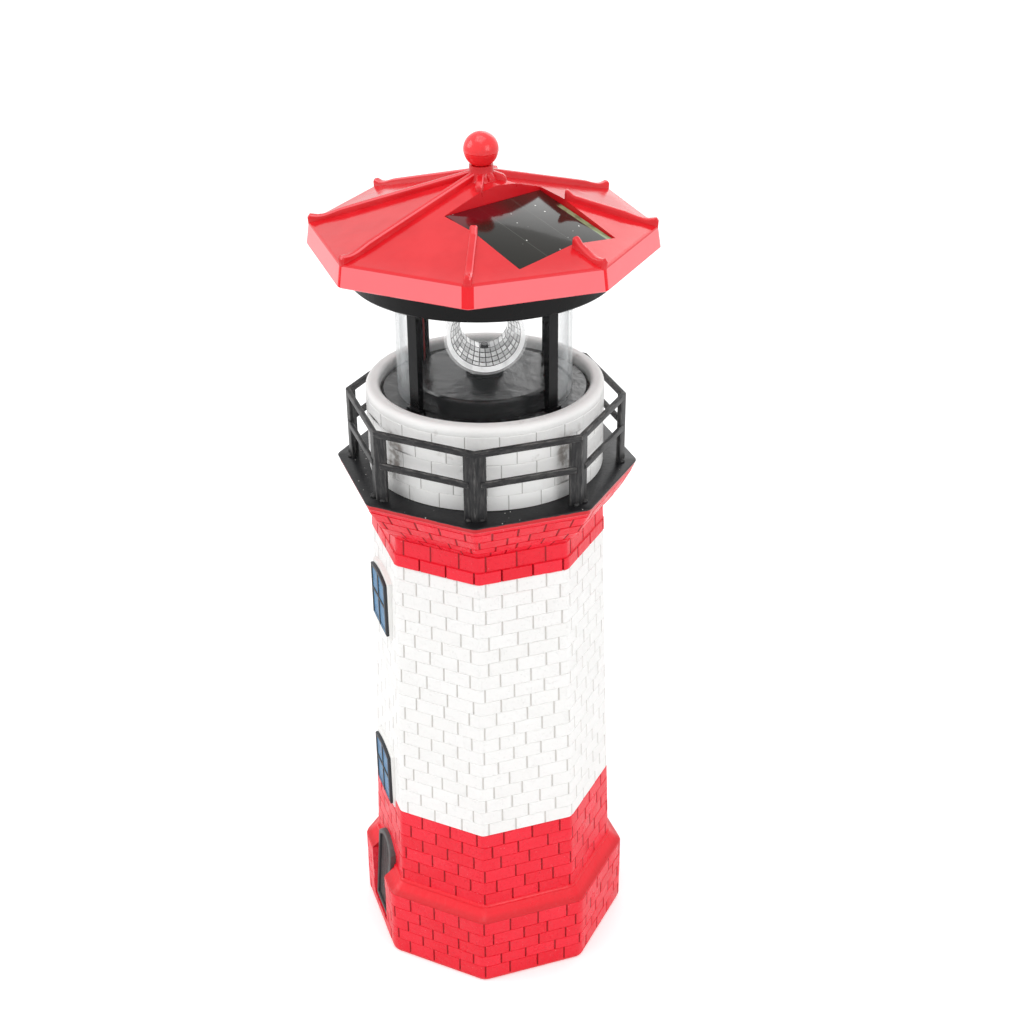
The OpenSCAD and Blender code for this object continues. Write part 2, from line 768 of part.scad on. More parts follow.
led_board_r = 7;
led_board_t = 1.2;
led_pin_r = 0.25;
led_pin_x = 1.27;
module led_board() {
    color("darkgreen") translate([0, 0, ceiling_z + wall]) difference() {
        cylinder(r = led_board_r, h = led_board_t);
        for (s = [-1, 1]) translate([s * led_pin_x, 0, -over])
            cylinder(r = led_pin_r + slide_fit, h = led_board_t + 2 * over, $fn = 24);
    }
}

module led_lamp() {
    color([1, 0.97, 0.85, 0.8]) {
        translate([0, 0, led_body_z]) sphere(r = led_r);
        translate([0, 0, led_body_z]) cylinder(r = led_r, h = led_flange_z - led_body_z + edge);
        translate([0, 0, led_flange_z]) cylinder(r = led_r + led_shoulder, h = led_flange_h);
        for (s = [-1, 1]) translate([s * led_pin_x, 0, led_flange_z])
            cylinder(r = led_pin_r, h = ceiling_z + wall + led_board_t + edge - led_flange_z, $fn = 24);
    }
}

lead_lift = 1.5;
lead_cross_z = ceiling_z + wall + led_board_t + lead_lift;
lead_join_h = 40;
lead_join_z = housing_z + lead_join_h;
lead_join_y = 13;
lead_side_x = 4.5;

// The way down a rear post and along the housing to the board
function lead_down(k, side) = [
    around(lead_r, bar_dir(k), lead_cross_z), around(lead_r, bar_dir(k), lead_slot_z),
    around(lead_drop_r, bar_dir(k), lead_slot_z), around(lead_drop_r, bar_dir(k), lead_join_z),
    [board_x - lead_side_x, side * lead_join_y, lead_join_z], [board_x, side * lead_join_y, lead_join_z]];

module panel_lead() {
    mid = panel_in + panel_l / 2;
    under = panel_z(mid) - sink - wire_r;
    start = [mid * cos(panel_dir), mid * sin(panel_dir)];
    color("firebrick") lead(concat([[start[0], start[1], under], [start[0], start[1], lead_cross_z]],
        lead_down(lead_posts[0], 1)));
}

module led_lead() {
    start = [-led_board_r / 2, -led_board_r / 4];
    color("firebrick") lead(concat([[start[0], start[1], ceiling_z + wall + led_board_t],
        [start[0], start[1], lead_cross_z]], lead_down(lead_posts[1], -1)));
}

// Beacon

beacon_dir = door_dir + beacon_turn;
hub_z = stage_z + hub_gap;
hub_flange_r = 5.5;
hub_flange_h = 1.5;
hub_waist_r = 2.8;
hub_peg_r = 1.2;
led_way_r = led_r + 1;
bowl_steps = 8;
flare_power = 1.3;
function bowl_r(t) = waist_r + (rim_r - waist_r) * pow(abs(t) / bowl_l, flare_power);
function bowl_outline(g) = [for (i = [-bowl_steps : bowl_steps])
    let (t = bowl_l * i / bowl_steps) [bowl_r(t) + g, t]];

// Lay a shape that was turned about z along the beacon's own axis
module along_beacon() {
    translate([0, 0, beacon_z]) rotate([0, 0, beacon_dir]) rotate([0, 90, 0]) children();
}

module beacon_lens() {
    inner = bowl_outline(-bowl_wall);
    color([0.9, 0.93, 0.95, 0.4]) difference() {
        along_beacon() rotate_extrude($fn = 96) polygon(concat(bowl_outline(0),
            [for (i = [len(inner) - 1 : -1 : 0]) inner[i]]));
        translate([0, 0, beacon_z]) cylinder(r = led_way_r, h = 2 * rim_r);
        translate([0, 0, beacon_z - 2 * rim_r]) cylinder(r = hub_peg_r + fit, h = 2 * rim_r);
    }
}

module beacon_hub() {
    saddle_z = beacon_z - waist_r;
    color([0.1, 0.1, 0.1]) difference() {
        union() {
            difference() {
                rotate_extrude() polygon([[0, hub_z], [hub_flange_r, hub_z],
                    [hub_flange_r, hub_z + hub_flange_h / 2], [hub_flange_r - edge, hub_z + hub_flange_h],
                    [hub_waist_r, hub_z + hub_flange_h + edge], [hub_r, hub_z + hub_flange_h + 2 * edge],
                    [hub_r, saddle_z - waist_r / 4], [hub_waist_r, saddle_z + edge], [0, saddle_z + edge]]);
                along_beacon() rotate_extrude($fn = 96)
                    polygon(concat([[0, -bowl_l]], bowl_outline(fit), [[0, bowl_l]]));
            }
            translate([0, 0, saddle_z - 2 * edge])
                cylinder(r = hub_peg_r, h = bowl_wall + 2 * edge);
        }
        translate([0, 0, hub_z - over])
            cylinder(r = spindle_r + fit / 2, h = spindle_in + over + gap);
    }
}

// Drive

spindle_under = 1.2;
spindle_z = plate_z - spindle_under;
spindle_in = 5;
spindle_top_z = hub_z + spindle_in;
bush_flange_z = stage_z - boss_h - bush_flange_t;

module spindle() {
    color("silver") translate([0, 0, spindle_z]) cylinder(r = spindle_r, h = spindle_top_z - spindle_z);
}

module spindle_bush() {
    color("goldenrod") difference() {
        union() {
            translate([0, 0, bush_flange_z]) cylinder(r = bush_r, h = stage_z - bush_flange_z - edge);
            translate([0, 0, bush_flange_z]) cylinder(r = bush_flange_r, h = bush_flange_t);
        }
        translate([0, 0, bush_flange_z - over]) cylinder(r = spindle_r + fit, h = 2 * boss_h);
    }
}

to_idler = atan2(idler_y, idler_x - motor_x);
to_axis = atan2(-idler_y, -idler_x);
wheel_step = 180 / wheel_teeth;

module output_gear() {
    color("ivory") difference() {
        translate([0, 0, stage_two_z]) rotate([0, 0, to_axis + 180 + wheel_step]) gear(wheel_teeth, gear_w);
        translate([0, 0, stage_two_z - over]) cylinder(r = spindle_r + fit / 2, h = gear_w + 2 * over);
    }
}

module idler_gear() {
    color("white") translate([idler_x, idler_y, 0]) difference() {
        union() {
            translate([0, 0, stage_one_z]) rotate([0, 0, to_idler + 180 + wheel_step])
                gear(wheel_teeth, gear_w);
            translate([0, 0, stage_one_z + gear_w - edge]) rotate([0, 0, to_axis])
                gear(pinion_teeth, gears_top_z - stage_one_z - gear_w + edge);
        }
        translate([0, 0, stage_one_z - over])
            cylinder(r = axle_r + fit, h = gears_top_z - stage_one_z + 2 * over);
    }
}

module idler_axle() {
    color("silver") translate([idler_x, idler_y, plate_z - screw_head_h]) {
        cylinder(r = axle_r, h = axle_top_z - plate_z + screw_head_h);
        cylinder(r = screw_head_r, h = screw_head_h);
    }
}

shaft_r_motor = 0.75;
shaft_in = 7;
module motor_shaft() {
    color("silver") translate([motor_x, 0, plate_z - shaft_in])
        cylinder(r = shaft_r_motor, h = stage_one_z + gear_w - plate_z + shaft_in);
}

module motor_pinion() {
    color("goldenrod") translate([motor_x, 0, stage_one_z]) difference() {
        rotate([0, 0, to_idler]) gear(pinion_teeth, gear_w);
        translate([0, 0, -over]) cylinder(r = shaft_r_motor + fit / 2, h = gear_w + 2 * over);
    }
}

motor_screw_y = 6;
motor_screw_l = 4.5;
motor_collar_r = 3;
motor_collar_h = 1.2;
tab_w = 1.6;
tab_t = 0.5;
tab_l = 3;
tab_y = 5;
module motor() {
    end_round = 1;
    color("silver") translate([motor_x, 0, plate_z]) difference() {
        union() {
            rotate_extrude() polygon([[0, -motor_l], [motor_r - end_round, -motor_l],
                [motor_r, -motor_l + end_round], [motor_r, -edge], [motor_r - edge, 0],
                [motor_collar_r, 0], [motor_collar_r, motor_collar_h], [0, motor_collar_h]]);
            for (s = [-1, 1]) translate([-tab_t / 2, s * tab_y - tab_w / 2, -motor_l - tab_l])
                cube([tab_t, tab_w, tab_l + edge]);
        }
        translate([0, 0, -shaft_in - fit])
            cylinder(r = shaft_r_motor + fit, h = shaft_in + motor_collar_h + over);
        for (s = [-1, 1]) translate([0, s * motor_screw_y, -motor_screw_l])
            cylinder(r = pilot_r, h = motor_screw_l + over);
    }
}

module motor_screws() {
    color("dimgray") for (s = [-1, 1])
        translate([motor_x, s * motor_screw_y, plate_top_z - screw_head_h])
            screw(motor_screw_l - plate_t + screw_head_h);
}

plate_r = housing_r - housing_wall - 2 * slide_fit - fit;
tube_gap = 0.5;
axle_collar_r = 2.2;
module gear_plate() {
    color("gainsboro") translate([0, 0, plate_z]) difference() {
        union() {
            cylinder(r = plate_r, h = plate_t);
            translate([idler_x, idler_y, 0]) cylinder(r = axle_collar_r, h = stage_one_z - plate_z - gap);
        }
        translate([0, 0, -over]) {
            cylinder(r = spindle_r + fit, h = plate_t + 2 * over);
            translate([-cell_x, 0, 0]) cylinder(r = bay_r + tube_gap, h = plate_t + 2 * over);
            translate([-cell_x - bay_r * 2, -bay_r - tube_gap, 0])
                cube([bay_r * 2, 2 * (bay_r + tube_gap), plate_t + 2 * over]);
            translate([-cell_x, -contact_w / 2 - gap, 0])
                cube([cell_x + board_x + contact_t + gap, contact_w + 2 * gap, plate_t + 2 * over]);
            translate([motor_x, 0, 0]) cylinder(r = motor_collar_r + slide_fit, h = plate_t + 2 * over);
            translate([idler_x, idler_y, 0]) cylinder(r = axle_r + fit / 2, h = 3 * plate_t + 2 * over);
            for (a = pillar_dirs) translate(around(pillar_ring_r, a, 0))
                cylinder(r = pilot_r, h = plate_t + 2 * over);
            for (k = lead_posts) rotate([0, 0, bar_dir(k)])
                translate([lead_drop_r - 2 * wire_hole_r, -3 * wire_hole_r, 0])
                    cube([plate_r, 6 * wire_hole_r, plate_t + 2 * over]);
        }
        for (s = [-1, 1]) translate([motor_x, s * motor_screw_y, -over]) {
            cylinder(r = pilot_r, h = plate_t + 2 * over);
            translate([0, 0, over + plate_t - screw_head_h])
                cylinder(r = screw_head_r + slide_fit, h = plate_t + over);
        }
    }
}

plate_screw_l = 7;
module plate_screws() {
    color("dimgray") for (a = pillar_dirs) translate(around(pillar_ring_r, a, plate_z))
        rotate([180, 0, 0]) screw(plate_screw_l);
}

// Drive housing

housing_in_r = housing_r - housing_wall;
housing_top_z = seat_z - fit;
housing_screw_dirs = [80, 180, 280];
housing_screw_z = seat_z - skirt_h / 2;
housing_boss = 2.4;
housing_boss_w = 5;
bay_gap = 0.3;
bay_wall = 1.2;
bay_r = cell_d / 2 + bay_gap + bay_wall;
cap_t = 1.6;
cap_plug_h = 3;
cap_flange_r = bay_r;
cell_z = housing_z + cap_plug_h + spring_l;
cell_top_z = cell_z + cell_l;
contact_t = 0.5;
contact_w = 4;
bay_top_z = cell_top_z + contact_t + wall;
cap_ear_dir = 62;
cap_ear_l = 10.4;
cap_boss_h = 7;
board_x = -3.8;
guide_t = 1.2;
guide_h = 30;
guide_depth = 4;
switch_x = 12;
switch_l = 12;
switch_w = 6;
switch_h = 6;
slot_w = 2.4;
knob_l = 3;
board_z = floor_z + slide_fit;
board_top_z = cell_top_z - tab_l;

module drive_housing() {
    ear = [-cell_x + cap_ear_l * cos(cap_ear_dir), cap_ear_l * sin(cap_ear_dir)];
    color([0.14, 0.14, 0.15]) difference() {
        union() {
            translate([0, 0, housing_z]) difference() {
                cylinder(r = housing_r, h = housing_top_z - housing_z, $fn = 96);
                translate([0, 0, housing_wall]) cylinder(r = housing_in_r, h = housing_h, $fn = 96);
            }
            translate([-cell_x, 0, housing_z]) cylinder(r = bay_r, h = bay_top_z - housing_z);
            translate([ear[0], ear[1], housing_z]) cylinder(r = housing_boss, h = cap_boss_h);
            for (a = housing_screw_dirs) rotate([0, 0, a])
                translate([housing_in_r - housing_boss, -housing_boss_w / 2, housing_screw_z - housing_boss])
                    cube([housing_boss + edge, housing_boss_w, 2 * housing_boss]);
            for (s = [-1, 1], x = [board_x - guide_t - slide_fit, board_x + board_t + slide_fit])
                intersection() {
                    translate([x, s > 0 ? board_w / 2 - guide_depth : -housing_r, floor_z - edge])
                        cube([guide_t, housing_r - board_w / 2 + guide_depth, guide_h]);
                    cylinder(r = housing_in_r + edge, h = seat_z);
                }
        }
        translate([-cell_x, 0, housing_z - over])
            cylinder(r = bay_r - bay_wall, h = bay_top_z - wall - housing_z + over);
        translate([-cell_x, -contact_w / 2 - slide_fit, cell_top_z - fit])
            cube([2 * bay_r, contact_w + 2 * slide_fit, contact_t + 2 * fit]);
        translate([ear[0], ear[1], housing_z - over]) cylinder(r = pilot_r, h = cap_boss_h + over - edge);
        for (a = housing_screw_dirs) rotate([0, 0, a])
            translate([housing_in_r - housing_boss - over, 0, housing_screw_z])
                rotate([0, 90, 0]) cylinder(r = pilot_r, h = housing_r);
        translate([switch_x - (switch_travel + knob_l) / 2 - gap, -slot_w / 2 - gap, housing_z - over])
            cube([switch_travel + knob_l + 2 * gap, slot_w + 2 * gap, housing_wall + 2 * over]);
    }
}

module housing_screws() {
    color("dimgray") for (a = housing_screw_dirs) rotate([0, 0, a])
        translate([skirt_r - screw_head_h, 0, housing_screw_z]) rotate([0, 90, 0])
            screw(housing_boss + housing_wall);
}

// Battery and its holder

module battery() {
    nub_r = 2.7;
    nub_h = 1;
    color("seagreen") translate([-cell_x, 0, cell_z + fit]) {
        rotate_extrude() polygon([[0, 0], [cell_d / 2 - edge, 0], [cell_d / 2, edge],
            [cell_d / 2, cell_l - nub_h - edge], [cell_d / 2 - edge, cell_l - nub_h],
            [nub_r, cell_l - nub_h], [nub_r, cell_l - 2 * fit], [0, cell_l - 2 * fit]]);
    }
}

// The spring is one wound tube: rings of six points along a helix
spring_r = 4.2;
ring_sides = 6;
rings_per_turn = 8;
function helix(i) = let (s = i / (spring_turns * rings_per_turn), a = i * 360 / rings_per_turn)
    [spring_r * cos(a), spring_r * sin(a), spring_wire / 2 + s * (spring_l - spring_wire)];
module battery_spring() {
    color("silver") translate([-cell_x, 0, housing_z + cap_plug_h])
        tube_mesh([for (i = [0 : spring_turns * rings_per_turn])
            [for (j = [0 : ring_sides - 1])
                let (c = helix(i), a = i * 360 / rings_per_turn, b = j * 360 / ring_sides,
                    out = spring_wire / 2 * cos(b), up = -spring_wire / 2 * sin(b))
                    [c[0] + out * cos(a), c[1] + out * sin(a), c[2] + up]]]);
}

module plus_contact() {
    reach = cell_x + board_x - contact_t;
    color("silver") translate([-cell_x, 0, cell_top_z]) {
        cylinder(r = cell_d / 3, h = contact_t);
        translate([0, -contact_w / 2, 0]) cube([reach + contact_t, contact_w, contact_t]);
        translate([reach, -contact_w / 2, -2 * tab_l])
            cube([contact_t - fit, contact_w, 2 * tab_l + contact_t]);
    }
}

module battery_cap() {
    ear = [cap_ear_l * cos(cap_ear_dir), cap_ear_l * sin(cap_ear_dir)];
    grip_w = 1.2;
    color([0.14, 0.14, 0.15]) translate([-cell_x, 0, housing_z]) difference() {
        union() {
            translate([0, 0, -cap_t]) cylinder(r = cap_flange_r, h = cap_t);
            cylinder(r = bay_r - bay_wall - slide_fit, h = cap_plug_h);
            translate([ear[0], ear[1], -cap_t]) cylinder(r = housing_boss, h = cap_t);
        }
        translate([ear[0], ear[1], -cap_t - over]) cylinder(r = pilot_r, h = cap_t + 2 * over);
        for (s = [-1, 1]) translate([-cap_flange_r / 2, s * 2 * grip_w - grip_w / 2, -cap_t - over])
            cube([cap_flange_r, grip_w, cap_t / 2 + over]);
    }
}

module cap_screw() {
    color("silver") translate([-cell_x + cap_ear_l * cos(cap_ear_dir), cap_ear_l * sin(cap_ear_dir),
        housing_z - cap_t]) rotate([180, 0, 0]) screw(cap_boss_h - edge);
}

// Electronics

module control_board() {
    color("darkgreen") translate([board_x, -board_w / 2, board_z])
        cube([board_t, board_w, board_top_z - board_z]);
}

// Two chips and a coil on the board's motor side: y share, z share, width, height, depth
chip_shares = [[0.25, 0.75, 0.14, 0.1, 0.05], [-0.2, 0.55, 0.2, 0.12, 0.05],
    [0.15, 0.3, 0.12, 0.12, 0.1]];
// The capacitor: its y share, z share, radius and depth
capacitor_shares = [-0.3, 0.25, 0.07, 0.12];
module board_parts() {
    h = board_top_z - board_z;
    color("black") translate([board_x + board_t, 0, board_z]) {
        for (c = chip_shares) translate([0, c[0] * board_w - c[2] * board_w / 2, c[1] * h])
            cube([c[4] * board_w, c[2] * board_w, c[3] * board_w]);
        translate([0, capacitor_shares[0] * board_w, capacitor_shares[1] * h]) rotate([0, 90, 0])
            cylinder(r = capacitor_shares[2] * board_w, h = capacitor_shares[3] * board_w);
    }
}

module motor_leads() {
    back_z = plate_z - motor_l - tab_l / 2;
    color("navy") for (s = [-1, 1]) lead([[motor_x - tab_t / 2, s * tab_y, back_z],
        [motor_x - 2 * tab_l, s * tab_y, back_z], [motor_x - 2 * tab_l, s * tab_y, back_z - 2 * tab_l],
        [board_x + board_t, s * tab_y, back_z - 2 * tab_l]]);
}

switch_cavity = 3.4;
module switch_body() {
    color([0.3, 0.3, 0.32]) translate([switch_x, 0, floor_z]) difference() {
        translate([-switch_l / 2, -switch_w / 2, 0]) cube([switch_l, switch_w, switch_h]);
        translate([-(switch_travel + knob_l) / 2 - edge - gap, -slot_w / 2 - gap, -over])
            cube([switch_travel + knob_l + 2 * edge + 2 * gap, slot_w + 2 * gap, switch_cavity + over]);
    }
}

module switch_slider() {
    color([0.85, 0.85, 0.85]) translate([switch_x - (switch_travel + knob_l) / 2, -slot_w / 2, 0]) {
        translate([0, 0, housing_z - knob_l / 2])
            cube([knob_l, slot_w, floor_z + gap + edge - housing_z + knob_l / 2]);
        translate([-edge, 0, floor_z + gap]) cube([knob_l + 2 * edge, slot_w, switch_cavity - 2 * gap]);
    }
}

tower_casting();
railing_posts();
top_rail();
mid_rail();
lantern_base();
lens_cylinder();
lantern_post(1);  // lantern_post_1
lantern_post(2);  // lantern_post_2
lantern_post(3);  // lantern_post_3
lantern_post(4);  // lantern_post_4
ceiling_tray();
roof_cap();
finial_ball();
solar_panel();
panel_gasket();
roof_screws();
led_board();
led_lamp();
panel_lead();
led_lead();
beacon_lens();
beacon_hub();
spindle();
spindle_bush();
output_gear();
idler_gear();
idler_axle();
motor_pinion();
motor_shaft();
motor();
motor_screws();
gear_plate();
plate_screws();
drive_housing();
housing_screws();
battery();
battery_spring();
plus_contact();
battery_cap();
cap_screw();
control_board();
board_parts();
motor_leads();
switch_body();
switch_slider();
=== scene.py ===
import json
import math
import random

import bmesh
import bpy
from mathutils import Matrix, Vector


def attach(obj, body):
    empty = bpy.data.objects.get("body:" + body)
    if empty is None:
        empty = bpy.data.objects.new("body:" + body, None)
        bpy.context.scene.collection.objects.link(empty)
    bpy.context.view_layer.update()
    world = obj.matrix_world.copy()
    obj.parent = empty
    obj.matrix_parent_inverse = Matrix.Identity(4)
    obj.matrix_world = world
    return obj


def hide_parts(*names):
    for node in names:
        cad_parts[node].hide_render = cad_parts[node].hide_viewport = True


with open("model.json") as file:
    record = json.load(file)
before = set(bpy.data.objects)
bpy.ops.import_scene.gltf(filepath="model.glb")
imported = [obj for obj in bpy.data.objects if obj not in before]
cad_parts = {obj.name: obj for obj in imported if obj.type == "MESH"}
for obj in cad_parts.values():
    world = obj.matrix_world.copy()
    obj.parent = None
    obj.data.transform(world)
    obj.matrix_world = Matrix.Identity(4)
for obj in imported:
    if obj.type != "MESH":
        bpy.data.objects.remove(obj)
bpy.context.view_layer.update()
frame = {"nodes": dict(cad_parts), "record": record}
print("frame loaded:", len(frame["nodes"]), "nodes")

mm = 0.001
octagonSides = 8
sideTurn = math.radians(45)
halfTurn = sideTurn / 2

# Finishes: a small language for shader nodes


class Value:  # a node's socket that can stand in a sum
    def __init__(self, finish, out):
        self.finish, self.out = finish, out

    def maths(self, operation, first, second):
        return self.finish.node("ShaderNodeMath", {"operation": operation}, {0: first, 1: second})

    def __add__(self, other):
        return self.maths("ADD", self, other)

    def __sub__(self, other):
        return self.maths("SUBTRACT", self, other)

    def __rsub__(self, other):
        return self.maths("SUBTRACT", other, self)

    def __mul__(self, other):
        return self.maths("MULTIPLY", self, other)

    __radd__ = __add__
    __rmul__ = __mul__

    def size(self):
        return self.maths("ABSOLUTE", self, 0)

    def between(self, low, high, start=0.0, end=1.0):  # eases from start at low to end at high
        return self.finish.node("ShaderNodeMapRange", {"interpolation_type": "SMOOTHSTEP"},
                                {"Value": self, "From Min": low, "From Max": high,
                                 "To Min": start, "To Max": end})


class Finish:
    def __init__(self, name, **constants):
        self.material = bpy.data.materials.new(name)
        self.material.use_nodes = True
        self.tree = self.material.node_tree
        self.tree.nodes.clear()
        self.shader = self.tree.nodes.new("ShaderNodeBsdfPrincipled")
        surface = self.tree.nodes.new("ShaderNodeOutputMaterial")
        self.tree.links.new(self.shader.outputs[0], surface.inputs["Surface"])
        for socket, value in constants.items():
            self.set(socket.replace("_", " "), value)
        self.place = self.node("ShaderNodeTexCoord", None, None, "Object")

    def feed(self, socket, value):
        if isinstance(value, Value):
            self.tree.links.new(value.out, socket)
        else:
            socket.default_value = value

    def node(self, kind, settings=None, sockets=None, out=0):
        made = self.tree.nodes.new(kind)
        for setting, value in (settings or {}).items():
            setattr(made, setting, value)
        for socket, value in (sockets or {}).items():
            self.feed(made.inputs[socket], value)
        return Value(self, made.outputs[out])

    def set(self, socket, value):
        self.feed(self.shader.inputs[socket], value)

    def axes(self):  # x, y and z of the place, in millimetres
        parts = [self.node("ShaderNodeSeparateXYZ", None, {0: self.place}, axis) for axis in "XYZ"]
        return [part * (1 / mm) for part in parts]

    def grain(self, across, detail=2, rough=0.5, along=(1, 1, 1)):  # noise with features so many mm across
        spot = self.node("ShaderNodeMapping", None, {"Vector": self.place, "Scale": along})
        return self.node("ShaderNodeTexNoise", None,
                         {"Vector": spot, "Scale": 1 / (across * mm), "Detail": detail, "Roughness": rough})

    def cells(self, across):  # how far the nearest of many scattered points is, so many mm apart
        return self.node("ShaderNodeTexVoronoi", None, {"Vector": self.place, "Scale": 1 / (across * mm)})

    def layer(self, name):  # a value painted on the mesh
        return self.node("ShaderNodeAttribute", {"attribute_name": name}, None, "Fac")

    def mix(self, factor, first, second):
        return self.node("ShaderNodeMix", {"data_type": "RGBA"}, {0: factor, 6: first, 7: second}, 2)

    def bump(self, height, depth):  # height 0..1 stands for depth millimetres
        sockets = {"Height": height, "Distance": depth * mm, "Strength": 1.0}
        self.set("Normal", self.node("ShaderNodeBump", None, sockets))


def paint(red, green, blue):  # a colour as a screen shows it, made linear
    linear = [((c / 255 + 0.055) / 1.055) ** 2.4 if c > 10 else c / 3294 for c in (red, green, blue)]
    return (*linear, 1.0)


brickColours = {
    "red": (252, 40, 62), "redDark": (238, 22, 44), "redJoint": (168, 2, 16), "white": (252, 252, 251),
    "whiteDark": (246, 246, 244), "whiteJoint": (216, 214, 210), "speck": (255, 140, 148),
}


def brickFinish(name, colours):
    f = Finish(name, IOR=1.48, Specular_IOR_Level=0.35)
    tone, band, joint = f.layer("tone"), f.layer("band"), f.layer("joint")
    cloud = f.grain(7, 3)
    red = f.mix(tone * 0.6 + cloud * 0.4, paint(*colours["red"]), paint(*colours["redDark"]))
    speck = f.cells(1.1).between(0.1, 0.16, 1, 0) * f.grain(3.5).between(0.58, 0.66)
    red = f.mix(speck * 0.75, red, paint(*colours["speck"]))
    white = f.mix(tone * 0.5 + cloud * 0.5, paint(*colours["white"]), paint(*colours["whiteDark"]))
    face = f.mix(band, red, white)
    seam = f.mix(band, paint(*colours["redJoint"]), paint(*colours["whiteJoint"]))
    f.set("Base Color", f.mix(joint, face, seam))
    f.set("Roughness", cloud * 0.2 + band * 0.16 + 0.2)
    pits = f.cells(0.8).between(0.05, 0.3) * 0.5
    f.bump(pits + f.grain(1.6, 4) * 0.8, 0.26)
    return f.material


def plainFinish(name, colour, dark, rough, across=5.0, deep=0.06, **more):
    f = Finish(name, IOR=1.49, **more)
    cloud = f.grain(across, 4)
    f.set("Base Color", f.mix(cloud, paint(*colour), paint(*dark)))
    f.set("Roughness", cloud * 0.22 + rough)
    f.bump(f.grain(across * 0.25, 4), deep)
    return f.material


def metalFinish(name, colour, rough):
    f = Finish(name, Metallic=1.0)
    scratch = f.grain(0.4, 3, 0.6, (1, 1, 0.05))
    f.set("Base Color", f.mix(scratch, paint(*colour), paint(*[c * 0.8 for c in colour])))
    f.set("Roughness", scratch * 0.25 + rough)
    f.bump(scratch, 0.01)
    return f.material


# Shared shapes


def octPoint(turn, corner, rounding, out=0.0):  # turn counts sides, and a whole number is a flat's middle
    side = math.floor(turn + 0.5)
    base = (corner - rounding) * math.cos(halfTurn)
    flat = (corner - rounding) * math.sin(halfTurn)
    along = (turn - side) * 2 * (flat + rounding * halfTurn)
    if abs(along) <= flat:
        spot = Vector((base + rounding + out, along, 0))
    else:
        bend = (abs(along) - flat) / rounding
        spot = Vector((base + (rounding + out) * math.cos(bend),
                       math.copysign(flat + (rounding + out) * math.sin(bend), along), 0))
    return Matrix.Rotation(sideTurn * side, 3, "Z") @ spot


def cut(bm, where, normal, faces=None):  # cuts the given faces, or everything, along a plane
    if faces is None:
        parts = bm.verts[:] + bm.edges[:] + bm.faces[:]
    else:
        edges = {e for f in faces for e in f.edges}
        verts = {v for f in faces for v in f.verts}
        parts = [*faces, *edges, *verts]
    return bmesh.ops.bisect_plane(bm, geom=parts, dist=1e-5, plane_co=where, plane_no=normal)


def finishPiece(name, bm, body, materials, stands, smooth, tilt=None):
    if tilt:
        bmesh.ops.transform(bm, matrix=tilt, verts=bm.verts)
    bmesh.ops.scale(bm, vec=(mm, mm, mm), verts=bm.verts)
    mesh = bpy.data.meshes.new(name)
    bm.to_mesh(mesh)
    bm.free()
    for material in materials:
        mesh.materials.append(material)
    mesh.shade_smooth()
    mesh.set_sharp_from_angle(angle=math.radians(smooth))
    piece = bpy.data.objects.new(name, mesh)
    bpy.context.scene.collection.objects.link(piece)
    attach(piece, body)
    if stands:
        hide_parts(*stands)
    print("made", name, "with", len(mesh.polygons), "faces")
    return piece


def softEdges(bm, edges, offset):  # rounds edges and marks the new faces for a scuffed grey that is partly a painted highlight on the edges
    wear = bm.faces.layers.float.get("wear") or bm.faces.layers.float.new("wear")
    made = bmesh.ops.bevel(bm, geom=edges, offset=offset, affect="EDGES", segments=3, profile=0.5,
                           material=-1)
    for face in made["faces"]:
        face[wear] = 1.0
    return made


def addBox(bm, low, high, soft=0.0):  # gives back its corners, so that it can be turned
    made = bmesh.ops.create_cube(bm, size=1)["verts"]
    size = [b - a for a, b in zip(low, high)]
    bmesh.ops.scale(bm, vec=size, verts=made)
    bmesh.ops.translate(bm, vec=[(a + b) / 2 for a, b in zip(low, high)], verts=made)
    if soft:
        edges = list({e for v in made for e in v.link_edges})
        grown = softEdges(bm, edges, soft)
        made = list({v for f in grown["faces"] for v in f.verts} | {v for v in made if v.is_valid})
    return made


def addBall(bm, centre, radius, flat=1.0):
    made = bmesh.ops.create_icosphere(bm, subdivisions=2, radius=radius)["verts"]
    bmesh.ops.scale(bm, vec=(1, 1, flat), verts=made)
    bmesh.ops.translate(bm, vec=centre, verts=made)


def turned(bm, outline, steps, closed=True):  # spins an outline of (radius, height) about z
    verts = [bm.verts.new((r, 0, z)) for r, z in outline]
    nexts = verts[1:] + verts[:1] if closed else verts[1:]
    edges = [bm.edges.new(pair) for pair in zip(verts, nexts)]
    bmesh.ops.spin(bm, geom=verts + edges, cent=(0, 0, 0), axis=(0, 0, 1), dvec=(0, 0, 0),
                   angle=2 * math.pi, steps=steps, use_merge=True)
    bmesh.ops.remove_doubles(bm, verts=bm.verts, dist=1e-4)
    bmesh.ops.recalc_face_normals(bm, faces=bm.faces)


def curve(centre, radius, start, end, steps):  # points on an arc, in degrees
    angles = [math.radians(start + (end - start) * i / steps) for i in range(steps + 1)]
    return [(centre[0] + radius * math.cos(a), centre[1] + radius * math.sin(a)) for a in angles]


def wrappedRings(levels, bends=(0.44, 0.455, 0.47, 0.485)):  # a skin through rounded octagons, lowest first
    steps = [-0.5] + [-b for b in reversed(bends)] + list(bends)
    turns = [side + s for side in range(octagonSides) for s in steps] + [octagonSides - 0.5]
    bm = bmesh.new()
    bmesh.ops.create_grid(bm, x_segments=len(turns) - 1, y_segments=len(levels) - 1, size=1)
    for v in bm.verts:
        turn = turns[round((v.co.x + 1) / 2 * (len(turns) - 1))]
        height, corner, rounding = levels[round((v.co.y + 1) / 2 * (len(levels) - 1))]
        v.co = octPoint(turn, corner, rounding) + Vector((0, 0, height))
    bmesh.ops.remove_doubles(bm, verts=bm.verts, dist=1e-4)
    bmesh.ops.recalc_face_normals(bm, faces=bm.faces)
    return bm


# Tower

